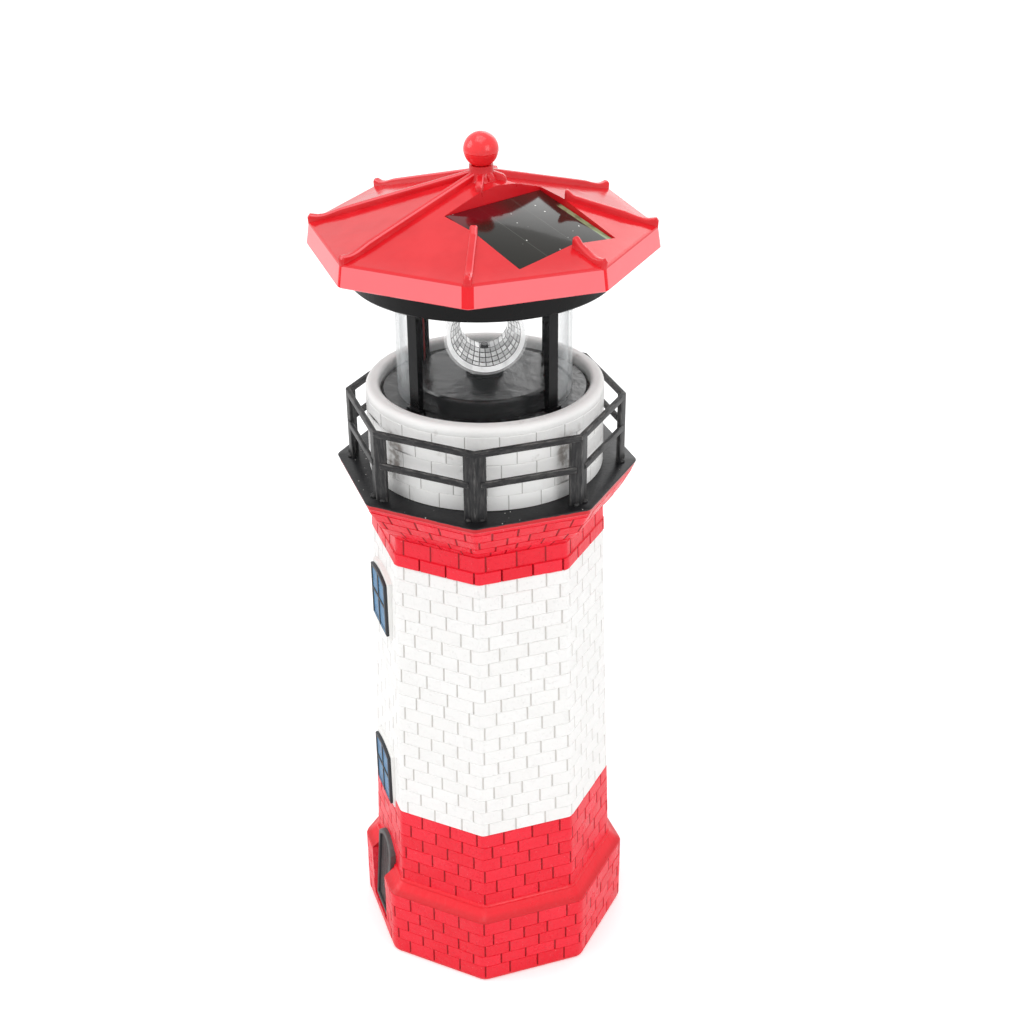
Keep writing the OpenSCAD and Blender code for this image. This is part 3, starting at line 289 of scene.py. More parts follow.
tower = {
    "profile": [  # height, corner radius and rounding
        (28.4, 39.55, 2.4), (156.2, 35.35, 2.4), (156.5, 35.5, 2.6), (158.7, 37.9, 2.2), (161.6, 40.3, 2.2),
        (164.8, 42.2, 2.2), (168.0, 43.9, 2.2), (169.3, 44.4, 2.2)],
    "lowCourses": 6, "whiteBottom": 56.4, "whiteCourses": 20, "whiteTop": 147.2, "redTop": [151.2, 156.2],
    "flareCourse": 3.6, "flareCourses": 4, "side": 28.7,
    "bricks": [(100, 25), (156, 24), (200, 33)],  # below a height, and how many go round
    "seam": 3.5, "stretch": 2.4, "clear": 1.2, "jitter": 0.55, "unevenness": 0.07,
    "steps": [(0.27, 0.2), (0.18, 0.1)], "levelJoint": 0.12,  # each inset and how far it stands up
    "bends": (0.033, 0.022, 0.011, 0.0), "proudCourse": 0.35,
    "bore": [(0, 33.0), (118.1, 30.4), (122.1, 28.5), (200, 28.5)],  # height and radius
}
brickPaint = brickFinish("brickPaint", brickColours)


def boreAt(height):
    for (low, wide), (high, narrow) in zip(tower["bore"], tower["bore"][1:]):
        if height <= high:
            return wide + (narrow - wide) * max(height - low, 0) / (high - low)


def profileTable(profile):  # adds the length along the surface to each row of the profile
    table, run = [], 0.0
    for index, (height, corner, rounding) in enumerate(profile):
        if index:
            run += math.hypot(height - profile[index - 1][0],
                              (corner - profile[index - 1][1]) * math.cos(halfTurn))
        table.append((run, height, corner, rounding))
    return table


def along(table, run):
    for low, high in zip(table, table[1:]):
        if run <= high[0] + 1e-6:
            share = (run - low[0]) / (high[0] - low[0])
            return [a + (b - a) * share for a, b in zip(low[1:], high[1:])]
    return list(table[-1][1:])


def layBricks(width, courses, counts, plan, seed, white=None):
    # Lays running bond on a flat sheet: x runs round the tower, y up it and z out of it
    rng = random.Random(seed)
    stretch = plan["stretch"]
    bm = bmesh.new()
    tone = bm.faces.layers.float.new("tone")
    band = bm.faces.layers.float.new("band")
    joint = bm.faces.layers.float.new("joint")
    bmesh.ops.create_grid(bm, x_segments=1, y_segments=1, size=0.5)
    bmesh.ops.scale(bm, vec=(width, (courses[-1] - courses[0]) * stretch, 1), verts=bm.verts)
    bmesh.ops.translate(bm, vec=(width / 2, (courses[-1] + courses[0]) / 2 * stretch, 0), verts=bm.verts)
    for level in courses[1:-1]:
        cut(bm, (0, level * stretch, 0), (0, 1, 0))
    shift, below = 0.0, []
    for index, rest in enumerate(sorted(bm.faces, key=lambda face: face.calc_center_median().y)):
        length = width / counts[index]
        shift = (shift + rng.uniform(0.38, 0.62)) % 1
        rest[band] = 1.0 if white and white[0] < (courses[index] + courses[index + 1]) / 2 < white[1] else 0.0
        here = []
        for k in range(counts[index] + 1):
            x = (k + shift) * length + rng.uniform(-1, 1) * plan["jitter"]
            while any(abs(x - other) < plan["clear"] for other in below):
                x += plan["clear"] / 2
            if length * 0.3 < x < width - length * 0.3:
                here.append(x)
                parts = cut(bm, (x, 0, 0), (1, 0, 0), [rest])["geom"]
                rest = max((p for p in parts if isinstance(p, bmesh.types.BMFace)),
                           key=lambda face: face.calc_center_median().x)
        below = here
    bricks = bm.faces[:]
    for face in bricks:
        face[tone] = rng.random()
    for thickness, depth in plan["steps"]:
        ring = bmesh.ops.inset_individual(bm, faces=bricks, thickness=thickness, depth=depth,
                                          use_even_offset=True)["faces"]
        bm.normal_update()
        if thickness == plan["steps"][0][0]:
            for face in ring:
                face[joint] = 1.0 if abs(face.normal.x) > abs(face.normal.y) else plan["levelJoint"]
    for face in bricks:
        lift = rng.uniform(-1, 1) * plan["unevenness"]
        for v in face.verts:
            v.co.z += lift
    ends = {v for v in bm.verts if min(v.co.x, width - v.co.x) < 1e-4}
    for v in ends:  # no joint where the sheet's ends meet
        v.co.z = sum(depth for _, depth in plan["steps"])
        for face in v.link_faces:
            if sum(other in ends for other in face.verts) == 2:
                face[joint] = 0.0
    return bm


def bendSheet(bm, sideWidth, bends):  # gives a flat sheet the upright cuts that its bent corners need
    for side in range(octagonSides + 1):
        for bend in bends:
            for x in {side - bend, side + bend}:
                if 0 < x < octagonSides:
                    cut(bm, (x * sideWidth, 0, 0), (1, 0, 0))


def closeRing(bm, bore):  # gives a ring of brickwork its inner wall
    rims = [e for e in bm.edges if e.is_boundary]
    grown = bmesh.ops.extrude_edge_only(bm, edges=rims)["geom"]
    for v in (g for g in grown if isinstance(g, bmesh.types.BMVert)):
        flat = Vector((v.co.x, v.co.y)).normalized() * bore(v.co.z)
        v.co.x, v.co.y = flat
    inner = [g for g in grown if isinstance(g, bmesh.types.BMEdge) and g.is_boundary]
    bmesh.ops.bridge_loops(bm, edges=inner)
    bmesh.ops.recalc_face_normals(bm, faces=bm.faces)


def archLine(width, height, rise):  # an arched outline, from lower left round to lower right
    radius = (width * width / 4 + rise * rise) / (2 * rise)
    half = math.degrees(math.asin(width / 2 / radius))
    top = curve((0, height - radius), radius, 90 + half, 90 - half, 12)
    return [(-width / 2, 0)] + top + [(width / 2, 0)]


def buildShaft():
    table = profileTable(tower["profile"])
    rise = table[1][0] / (table[1][1] - table[0][1])
    foot = tower["profile"][0][0]

    def run(height):
        return (height - foot) * rise

    white, top = tower["whiteBottom"], tower["whiteTop"]
    lows, whites = tower["lowCourses"], tower["whiteCourses"]
    courses = [run(foot + (white - foot) * i / lows) for i in range(lows)]
    courses += [run(white + (top - white) * i / whites) for i in range(whites + 1)]
    courses += [run(z) for z in tower["redTop"]]
    courses += [table[1][0] + tower["flareCourse"] * (i + 1) for i in range(tower["flareCourses"])]
    courses.append(table[-1][0])
    counts = [next(count for height, count in tower["bricks"] if y < run(height)) for y in courses[:-2]] + [1]
    sideWidth = tower["side"]
    bm = layBricks(octagonSides * sideWidth, courses, counts, tower, 11, (run(white), run(top)))
    bendSheet(bm, sideWidth, tower["bends"])
    deep = sum(depth for _, depth in tower["steps"])
    proudLow, proudHigh = run(top), run(tower["redTop"][0])
    for v in bm.verts:
        turn, level, out = v.co.x / sideWidth + tower["seam"], v.co.y / tower["stretch"], v.co.z - deep
        height, corner, rounding = along(table, level)
        if proudLow + 0.02 < level < proudHigh + 0.02:
            out += tower["proudCourse"]
        v.co = octPoint(turn, corner, rounding, out) + Vector((0, 0, height))
    bmesh.ops.remove_doubles(bm, verts=bm.verts, dist=2e-3)
    closeRing(bm, boreAt)
    finishPiece("brickShaft", bm, "tower", [brickPaint], ("tower_casting",), 24)


door = {
    "width": 14.8, "sill": 5.0, "height": 30.8, "rise": 3.8, "face": 40.4, "deep": 5.5, "soft": 0.4,
    "gap": 0.3, "leanFrom": 19.0, "lean": 0.15, "side": 6, "back": 30.0, "recess": 3.0, "recessPast": 0.5,
    "frame": 1.7, "rebateWidth": 0.15, "sunk": 0.9, "plank": 2.3, "planks": 5, "plankEdge": 0.12,
    "plankProud": 0.14, "knob": (3.6, 17.5), "knobSize": 0.55,
    "edge": (92, 90, 90), "edgeDark": (70, 68, 68), "leaf": (46, 42, 42), "leafDark": (32, 28, 28),
}


def doorway(bm, level, stretch=1.0, seamWidth=None):  # takes out the faces in front of the door
    half = door["width"] / 2 + door["gap"]
    middle = (door["side"] - tower["seam"]) * seamWidth if seamWidth else 0
    for x in (middle - half, middle + half):
        cut(bm, (x, 0, 0), (1, 0, 0))
    if seamWidth:
        cut(bm, (0, level * stretch, 0), (0, 1, 0))
    gone = []
    for face in bm.faces:
        spot = face.calc_center_median()
        front = spot.y > level * stretch if seamWidth else spot.y < -door["back"]
        if abs(spot.x - middle) < half and front:
            gone.append(face)
    bmesh.ops.delete(bm, geom=gone, context="FACES")


plinth = {
    "corner": 43.9, "rounding": 4.5, "side": 33.69, "bricks": 29,
    "courses": [1.4, 6.3, 10.5, 15.0, 19.6, 24.6],
    "stretch": 2.6, "clear": 1.2, "jitter": 0.7, "unevenness": 0.06,
    "steps": [(0.27, 0.2), (0.16, 0.1)], "levelJoint": 0.12,
    "bends": (0.055, 0.044, 0.033, 0.022, 0.011, 0.0), "back": 33.4, "bead": 0.006, "beadZone": (28.0, 28.8),
    "ledge": [(24.6, 43.75, 4.5), (24.95, 43.7, 4.5), (25.3, 43.3, 4.5), (25.7, 42.5, 4.4), (27.9, 40.0, 4.5),
              (28.3, 39.95, 4.5), (28.7, 39.8, 4.5), (29.0, 39.4, 4.5), (29.0, 38.0, 4.5)],
    "foot": [(0.0, 41.5, 4.5), (0.0, 43.0, 4.5), (0.35, 43.45, 4.5), (0.8, 43.65, 4.5), (1.4, 43.75, 4.5)],
    # The third red is a painted shade for a band along the ledge's outer rounded edge.
    "smooth": (246, 22, 44), "smoothDark": (230, 10, 32), "smoothEdgeShade": (206, 0, 20),
}


def buildPlinth():
    side = plinth["side"]
    levels = plinth["courses"]
    bm = layBricks(octagonSides * side, levels, [plinth["bricks"]] * (len(levels) - 1), plinth, 5)
    bendSheet(bm, side, plinth["bends"])
    doorway(bm, door["sill"] - door["gap"], plinth["stretch"], side)
    deep = sum(depth for _, depth in plinth["steps"])
    for v in bm.verts:
        turn, height, out = v.co.x / side + tower["seam"], v.co.y / plinth["stretch"], v.co.z - deep
        v.co = octPoint(turn, plinth["corner"], plinth["rounding"], out) + Vector((0, 0, height))
    bmesh.ops.remove_doubles(bm, verts=bm.verts, dist=2e-3)
    closeRing(bm, lambda height: plinth["back"])
    finishPiece("plinthBricks", bm, "tower", [brickPaint], (), 24)

    bm = wrappedRings(plinth["ledge"])
    rng = random.Random(3)
    for v in bm.verts:
        if plinth["beadZone"][0] < v.co.z < plinth["beadZone"][1]:
            v.co.xy *= 1 + rng.uniform(0, 1) * plinth["bead"]
    closeRing(bm, lambda height: plinth["back"])
    doorway(bm, 0)
    bmesh.ops.holes_fill(bm, edges=[e for e in bm.edges if e.is_boundary], sides=0)
    bmesh.ops.recalc_face_normals(bm, faces=bm.faces)
    finishPiece("plinthLedge", bm, "tower", [ledgePaint], (), 30)

    bm = wrappedRings(plinth["foot"])
    closeRing(bm, lambda height: tower["bore"][0][1])
    finishPiece("plinthFoot", bm, "tower", [ledgePaint], (), 40)


def archSlab(bm, width, height, rise, sill, front, thick):  # an arched slab whose face looks along -y
    verts = [bm.verts.new((x, -front, sill + z)) for x, z in archLine(width, height, rise)]
    face = bm.faces.new(verts)
    bm.normal_update()
    if face.normal.y > 0:
        face.normal_flip()
    grown = bmesh.ops.extrude_face_region(bm, geom=[face])["geom"]
    bmesh.ops.translate(bm, vec=(0, thick, 0), verts=[g for g in grown if isinstance(g, bmesh.types.BMVert)])
    bmesh.ops.recalc_face_normals(bm, faces=bm.faces)
    return min(bm.faces, key=lambda f: f.calc_center_median().y)


def roundFront(bm, front, offset):  # softens the outline of a slab's face
    rim = [e for e in bm.edges if all(abs(v.co.y + front) < 1e-4 for v in e.verts) and
           any(abs(f.normal.y) < 0.5 for f in e.link_faces)]
    bmesh.ops.bevel(bm, geom=rim, offset=offset, affect="EDGES", segments=3, profile=0.5, material=-1)


windows = {
    "width": 15.8, "height": 19.4, "rise": 1.3, "sills": (54.6, 119.0), "reach": {54.6: 35.6, 119.0: 33.9},
    "proud": 1.9, "deep": 2.5, "soft": 0.25, "frame": 1.3, "bar": 1.0, "barShare": 0.5,
    "rebateWidth": 0.12, "sunk": 0.25,
    "margin": 1.0, "marginRise": 1.1, "marginShare": 0.5, "marginDeep": 1.5, "marginSoft": 0.4,
    "glass": (70, 150, 196), "glassDark": (14, 76, 128), "frameDark": (46, 50, 56),
    # The rebate colours are a painted shade for the walls round the sunken panes and the door leaf.
    "frameBlack": (30, 33, 38), "rebate": (26, 30, 36), "rebateShadeDark": (20, 22, 26),
}


def frontFaces(bm, front):  # the faces that lie in a slab's front
    return [f for f in bm.faces if f.calc_center_median().y < -front + 1e-3]


def buildWindow(name, sill):
    width, height, margin = windows["width"], windows["height"], windows["margin"]
    rim, bar = windows["frame"], windows["bar"]
    bm = bmesh.new()
    front = windows["reach"][sill] + windows["proud"] * windows["marginShare"]
    archSlab(bm, width + 2 * margin, height + 2 * margin, windows["rise"] * windows["marginRise"],
             sill - margin, front, windows["proud"] + windows["marginDeep"])
    roundFront(bm, front, windows["marginSoft"])
    finishPiece(name + "Margin", bm, "tower", [smoothWhite], (), 40)

    bm = bmesh.new()
    front = windows["reach"][sill] + windows["proud"]
    face = archSlab(bm, width, height, windows["rise"], sill, front, windows["deep"])
    bmesh.ops.inset_region(bm, faces=[face], thickness=rim, use_even_offset=True)
    middle = sill + rim + (height - 2 * rim) * windows["barShare"]
    cuts = [((x, 0, 0), (1, 0, 0)) for x in (-bar / 2, bar / 2)]
    cuts += [((0, 0, z), (0, 0, 1)) for z in (middle - bar / 2, middle + bar / 2)]
    for where, normal in cuts:
        glazed = [f for f in frontFaces(bm, front) if abs(f.calc_center_median().x) < width / 2 - rim]
        cut(bm, where, normal, glazed)
    panes = [f for f in frontFaces(bm, front) if f.calc_area() > 3 and
             bar / 2 < abs(f.calc_center_median().x) < width / 2 - rim - 0.3 and
             abs(f.calc_center_median().z - middle) > bar / 2]
    rebate = bmesh.ops.inset_individual(bm, faces=panes, thickness=windows["rebateWidth"],
                                        depth=-windows["sunk"])["faces"]
    for f in rebate:
        f.material_index = 1
    for f in panes:
        f.material_index = 2
    roundFront(bm, front, windows["soft"])
    finishPiece(name, bm, "tower", [framePaint, rebateShadePaint, panePaint], (), 30)


def buildDoor():
    width, front, sunk = door["width"], door["face"], door["sunk"]
    bm = bmesh.new()

    def boards():  # the faces of the sunken leaf
        return [f for f in bm.faces if abs(f.calc_center_median().y + front - sunk) < 1e-3]

    face = archSlab(bm, width, door["height"], door["rise"], door["sill"], front, door["deep"])
    bmesh.ops.inset_region(bm, faces=[face], thickness=door["frame"], use_even_offset=True)
    leaf = min((f for f in bm.faces if f.calc_area() > 60), key=lambda f: f.calc_center_median().y)
    rebate = bmesh.ops.inset_individual(bm, faces=[leaf], thickness=door["rebateWidth"], depth=-sunk)["faces"]
    for f in rebate:
        f.material_index = 1
    for i in range(1, door["planks"]):
        cut(bm, (-width / 2 + door["frame"] + door["plank"] * i, 0, 0), (1, 0, 0), boards())
    bmesh.ops.inset_individual(bm, faces=boards(), thickness=door["plankEdge"], depth=door["plankProud"],
                               use_even_offset=True)
    for f in bm.faces:
        spot = f.calc_center_median()
        if spot.y > -front + sunk * 0.7 and f.normal.y < -0.1 and abs(spot.x) < width / 2 - door["frame"]:
            f.material_index = 2
    roundFront(bm, front, door["soft"])
    for v in bm.verts:  # the top leans back with the ledge
        v.co.y += max(0, v.co.z - door["leanFrom"]) * door["lean"]
    addBall(bm, (door["knob"][0], -front + sunk * 0.6, door["knob"][1]), door["knobSize"])
    finishPiece("door", bm, "tower", [edgePaint, rebateShadePaint, leafPaint], (), 30)

    bm = bmesh.new()  # the recess behind and below the door
    half, past = width / 2 + door["gap"], door["recessPast"]
    addBox(bm, (-half - past, -front + door["recess"], door["sill"] - door["gap"] - 0.4),
           (half + past, -plinth["back"] + past, plinth["ledge"][0][0] + 2.4), 0.2)
    finishPiece("doorRecess", bm, "tower", [ledgePaint], (), 30)


deck = {
    "edge": [(169.1, 43.6, 2.3), (169.1, 44.2, 2.3), (169.35, 44.5, 2.3), (169.7, 44.55, 2.4),
             (170.5, 44.9, 2.5), (170.95, 45.1, 2.5), (171.2, 45.0, 2.5), (171.3, 44.75, 2.5),
             (171.3, 38.0, 2.5)],
    "inside": 33.0, "paintLine": 170.75, "black": (30, 30, 32), "blackDark": (14, 14, 16),
    # lip is a pale pink for the rim's lowest edge: a painted highlight.
    "red": (222, 22, 36), "redDark": (196, 6, 24), "lip": (244, 130, 138), "fleck": (215, 212, 208),
}


def buildDeck():
    bm = wrappedRings(deck["edge"])
    closeRing(bm, lambda height: deck["inside"])
    finishPiece("deckPlate", bm, "tower", [deckPaint], (), 40)


curb = {
    "radius": 35.1, "courses": [171.3, 176.0, 180.8, 185.6, 190.4, 194.4], "bricks": 22, "seamTurn": 0.6,
    "crest": 197.5, "mouth": 31.0, "seat": 192.5, "outerRound": 1.7, "innerRound": 1.3,
    "stretch": 1.5, "clear": 1.2, "jitter": 0.4, "unevenness": 0.05,
    "steps": [(0.16, 0.14), (0.14, 0.06)], "levelJoint": 0.25,
    "white": (255, 255, 254), "shade": (250, 250, 248), "joint": (158, 156, 152), "smudge": (132, 120, 110),
    "stains": [(14.5, -32.0), (32.4, 13.3)],
}


def buildCurb():
    levels = curb["courses"]
    around = 2 * math.pi * curb["radius"]
    bm = layBricks(around, levels, [curb["bricks"]] * (len(levels) - 1), curb, 8)
    bmesh.ops.subdivide_edges(bm, edges=[e for e in bm.edges if abs(e.verts[0].co.x - e.verts[1].co.x) > 5],
                              cuts=3, use_grid_fill=True)
    deep = sum(depth for _, depth in curb["steps"])
    for v in bm.verts:
        angle, radius = v.co.x / curb["radius"] + curb["seamTurn"], curb["radius"] + v.co.z - deep
        v.co = (radius * math.cos(angle), radius * math.sin(angle), v.co.y / curb["stretch"])
    bmesh.ops.remove_doubles(bm, verts=bm.verts, dist=2e-3)
    closeRing(bm, lambda height: curb["radius"] - 1)
    finishPiece("curbBricks", bm, "tower", [curbPaint], (), 24)

    bm = bmesh.new()
    outer, inner, top, bore = curb["radius"], curb["mouth"], curb["crest"], tower["bore"][-1][1]
    wide, tight = curb["outerRound"], curb["innerRound"]
    outline = [(outer - 0.6, levels[0]), (outer - 0.6, levels[-1] - 0.3), (outer - 0.15, levels[-1] - 0.1),
               (outer, levels[-1] + 0.3)]
    outline += curve((outer - wide, top - wide), wide, 0, 90, 8)
    outline += curve((inner + tight, top - tight), tight, 90, 180, 6)
    outline += [(inner, curb["seat"] + 0.3), (inner - 0.3, curb["seat"]), (bore, curb["seat"]),
                (bore, levels[0])]
    turned(bm, outline, 128)
    finishPiece("curbCrest", bm, "tower", [curbPaint], (), 35)


railing = {
    "corner": 41.6, "low": 171.3, "high": 193.0, "mid": 181.5, "depth": 2.0, "thick": 1.3, "leg": 3.6,
    "lapShare": 0.5, "lap": 0.35, "soft": 0.28, "footTurn": 0.045, "footSize": (0.8, 1.15),
    # The third colour is a scuffed grey, partly real scuffs and partly a painted highlight on the rounded
    # edges.
    "black": (34, 34, 36), "blackDark": (18, 18, 20), "worn": (122, 120, 118),
}


def buildRailing():
    apothem = railing["corner"] * math.cos(halfTurn)
    half = railing["corner"] * math.sin(halfTurn)
    thick, low, high = railing["thick"], railing["low"], railing["high"]
    toFlat = Matrix.Rotation(halfTurn, 3, "Z")
    bm = bmesh.new()
    inner = railing["corner"] - thick / math.cos(halfTurn)
    turned(bm, [(railing["corner"], high - railing["depth"]), (railing["corner"], high), (inner, high),
                (inner, high - railing["depth"])], octagonSides)
    bmesh.ops.rotate(bm, verts=bm.verts, matrix=toFlat)
    softEdges(bm, bm.edges[:], railing["soft"])
    finishPiece("topRail", bm, "tower", [railPaint], ("top_rail",), 40)

    bm = bmesh.new()
    for side in range(octagonSides):
        turn = Matrix.Rotation(sideTurn * side, 3, "Z")
        reach = half - railing["leg"] * railing["lapShare"]
        made = addBox(bm, (apothem - thick * 0.6, -reach, railing["mid"]),
                      (apothem + railing["lap"], reach, railing["mid"] + railing["depth"]), railing["soft"])
        bmesh.ops.rotate(bm, verts=made, matrix=turn)
    finishPiece("midRail", bm, "tower", [railPaint], ("mid_rail",), 40)

    bm = bmesh.new()
    away, leg = Vector((-math.sin(halfTurn), math.cos(halfTurn), 0)), railing["leg"]
    corner = Vector((railing["corner"], 0, low))
    left = corner + away * leg
    right = Vector((corner.x + away.x * leg, -away.y * leg, low))
    inset = Vector((-thick * math.cos(halfTurn), 0, 0))
    sideways = Vector((0, -thick * math.sin(halfTurn), 0))
    outline = [left, corner, right, right + inset - sideways,
               corner - Vector((thick / math.cos(halfTurn), 0, 0)), left + inset + sideways]
    for side in range(octagonSides):
        turn = Matrix.Rotation(sideTurn * side + halfTurn, 3, "Z")
        face = bm.faces.new([bm.verts.new(p) for p in outline])
        start = set(bm.faces) - {face}
        grown = bmesh.ops.extrude_face_region(bm, geom=[face])["geom"]
        lifted = [g for g in grown if isinstance(g, bmesh.types.BMVert)]
        bmesh.ops.translate(bm, vec=(0, 0, high - railing["depth"] - low + 0.2), verts=lifted)
        mine = list({v for f in set(bm.faces) - start for v in f.verts})
        upright = [e for e in {e for v in mine for e in v.link_edges}
                   if abs(e.verts[0].co.z - e.verts[1].co.z) > 5]
        made = softEdges(bm, upright, railing["soft"])
        mine = [v for v in set(mine) | {v for f in made["faces"] for v in f.verts} if v.is_valid]
        bmesh.ops.rotate(bm, verts=mine, matrix=turn)
    bmesh.ops.recalc_face_normals(bm, faces=bm.faces)
    rng = random.Random(4)
    for side in range(octagonSides):
        for lean in (-1, 1):
            turn = sideTurn * side + halfTurn + lean * railing["footTurn"] * rng.uniform(0.8, 1.2)
            radius = railing["corner"] - rng.uniform(0.4, 1.0)
            foot = (radius * math.cos(turn), radius * math.sin(turn), low + 0.25)
            addBall(bm, foot, rng.uniform(*railing["footSize"]), 0.7)
    finishPiece("railingPosts", bm, "tower", [postPaint], ("railing_posts",), 40)


def deckFinish(colours):
    f = Finish("deckPaint", IOR=1.5, Specular_IOR_Level=0.3)
    z = f.axes()[2]
    line = colours["paintLine"]
    edge = (z + f.grain(2.5, 2) * 0.7 - 0.35).between(line - 0.04, line + 0.04)
    cloud = f.grain(6, 4)
    black = f.mix(cloud, paint(*colours["black"]), paint(*colours["blackDark"]))
    fleck = f.cells(2.0).between(0.07, 0.11, 1, 0) * f.grain(7).between(0.46, 0.56)
    black = f.mix(fleck, black, paint(*colours["fleck"]))
    red = f.mix(cloud, paint(*colours["red"]), paint(*colours["redDark"]))
    # The lowest strip of the rim is painted pale pink: a painted highlight on the lower lip.
    red = f.mix(z.between(169.3, 169.42, 1, 0), red, paint(*colours["lip"]))
    f.set("Base Color", f.mix(edge, red, black))
    f.set("Roughness", cloud * 0.25 + 0.2)
    f.bump(f.grain(1.4, 4) * 0.7 + edge * 0.5, 0.09)
    return f.material


def railFinish(name, colours, streak):
    f = Finish(name, IOR=1.5, Specular_IOR_Level=0.35)
    cloud = f.grain(5, 4)
    up = f.node("ShaderNodeSeparateXYZ", None, {0: f.node("ShaderNodeTexCoord", None, None, "Normal")}, "Z")
    colour = f.mix(cloud, paint(*colours["black"]), paint(*colours["blackDark"]))
    # Light grey streaks, strongest on the rounded edges: real scuffs, and a painted highlight along the
    # edges.
    rubAndSheen = (f.layer("wear") * 0.6 + 0.3) * f.grain(0.8, 5, 0.65, streak).between(0.38, 0.72)
    colour = f.mix(rubAndSheen * 0.75, colour, paint(*colours["worn"]))
    f.set("Base Color", colour)
    f.set("Roughness", cloud * 0.2 + up.between(0.3, 0.9) * 0.1 + 0.3)
    f.bump(f.grain(0.9, 4), 0.05)
    return f.material


def curbFinish(colours):
    f = Finish("curbPaint", IOR=1.48)
    joint, cloud = f.layer("joint"), f.grain(6, 3)
    white = f.mix(cloud, paint(*colours["white"]), paint(*colours["shade"]))
    x, y, z = f.axes()
    near = [((x - spot[0]) * (x - spot[0]) + (y - spot[1]) * (y - spot[1])).between(1.5, 16, 1, 0)
            for spot in colours["stains"]]
    stain = (near[0] + near[1]) * z.between(174, 180) * z.between(187, 193, 1, 0)
    stain = stain * f.grain(2.5, 4).between(0.35, 0.62)
    stain = stain * 0.75 + f.grain(5, 4).between(0.64, 0.76) * 0.25
    white = f.mix(stain, white, paint(*colours["smudge"]))
    f.set("Base Color", f.mix(joint * 0.6, white, paint(*colours["joint"])))
    f.set("Roughness", cloud * 0.2 + 0.32)
    f.bump(f.grain(1.3, 4), 0.1)
    return f.material


def ledgeFinish(colours):
    f = Finish("ledgeRed", IOR=1.49)
    z = f.axes()[2]
    cloud = f.grain(6, 4)
    red = f.mix(cloud, paint(*colours["smooth"]), paint(*colours["smoothDark"]))
    # A darker red band along the ledge's outer rounded edge: painted shade of the crease.
    edge = z.between(20, 24) * z.between(25.1, 26.7, 1, 0)
    f.set("Base Color", f.mix(edge * 0.7, red, paint(*colours["smoothEdgeShade"])))
    f.set("Roughness", cloud * 0.22 + 0.2)
    f.bump(f.grain(1.5, 4), 0.14)
    return f.material


ledgePaint = ledgeFinish(plinth)
smoothWhite = plainFinish("smoothWhite", (247, 247, 245), (238, 238, 235), 0.3, 5.0, 0.05)
framePaint = plainFinish("windowFrame", windows["frameDark"], windows["frameBlack"], 0.35, 3.0, 0.06)
edgePaint = plainFinish("doorFrame", door["edge"], door["edgeDark"], 0.35, 3.0, 0.06)
# The walls round sunken panes and the door leaf are painted darker than the frame: painted shade in the
# recess.
rebateShadePaint = plainFinish("rebate", windows["rebate"], windows["rebateShadeDark"], 0.45, 2.0, 0.04)
panePaint = plainFinish("paneBlue", windows["glass"], windows["glassDark"], 0.2, 2.4, 0.12,
                        Specular_IOR_Level=0.3)
leafPaint = plainFinish("doorLeaf", door["leaf"], door["leafDark"], 0.4, 2.0, 0.12)
curbPaint = curbFinish(curb)
deckPaint = deckFinish(deck)
railPaint = railFinish("railPaint", railing, (0.22, 0.22, 1))
postPaint = railFinish("postPaint", railing, (1, 1, 0.16))


# Roof

roof = {
    "apex": 258.4, "eave": 237.6, "fascia": 244.0, "corner": 50.0, "lean": 1.0, "round": 2.0,
    "facets": [(45.4, 244.0), (44.8, 244.16), (43.2, 244.49), (40.9, 245.06), (38.7, 245.71)],  # flat, height
    "wall": 2.0, "ceiling": 243.1, "ceilingReach": 44.0, "innerEave": 242.0, "bends": (0.456, 0.47, 0.485),
    # The corner strips of the fascia are painted a deeper red as a painted shade on the rounded corners,
    # widest at the front corner.
    "stripWidth": 1.5, "stripThin": 0.75,
    # The fascia's red is paler than the roof's: a painted sheen on the upright band.
    "red": (226, 36, 44), "redDark": (216, 24, 34), "strip": (240, 12, 28), "fasciaSheenRed": (255, 116, 122),
    # A deeper red line along the fascia's top edge is a painted shade; glint is a painted highlight on the
    # ribs.
    "edgeShadeLine": (226, 22, 34), "glint": (255, 118, 126), "wallRed": (214, 30, 40),
}
panel = {
    "turn": 22.5, "near": 6.9, "far": 36.5, "left": -18.55, "right": 15.55, "gap": 0.3, "top": 252.0,
    "fall": 0.24, "deep": 1.9, "soft": 0.25, "lip": 1.6, "shelf": 1.2, "lines": (4.2, -7.4),
    "cell": (38, 36, 31), "cellDark": (26, 26, 21), "line": (84, 86, 80),
    # The dark red is a painted reflection of the red roof wall next to the panel.
    "strip": (150, 172, 128), "speck": (225, 225, 220), "glow": (104, 6, 20),
}


def roofHeight(radius, turn=0.0):  # the roof's skin at a distance out, so far round from a facet's middle
    flat = radius * math.cos(turn)
    rows = [(0.0, roof["apex"])] + roof["facets"][::-1]
    for (d0, z0), (d1, z1) in zip(rows, rows[1:]):
        if flat <= d1:
            return z0 + (z1 - z0) * (flat - d0) / (d1 - d0)
    return rows[-1][1]


def panelHeight(x):
    return panel["top"] - panel["fall"] * (x - panel["near"])


def inWindow(spot, grow):
    return panel["near"] - grow < spot.x < panel["far"] + grow and \
        panel["left"] - grow < spot.y < panel["right"] + grow


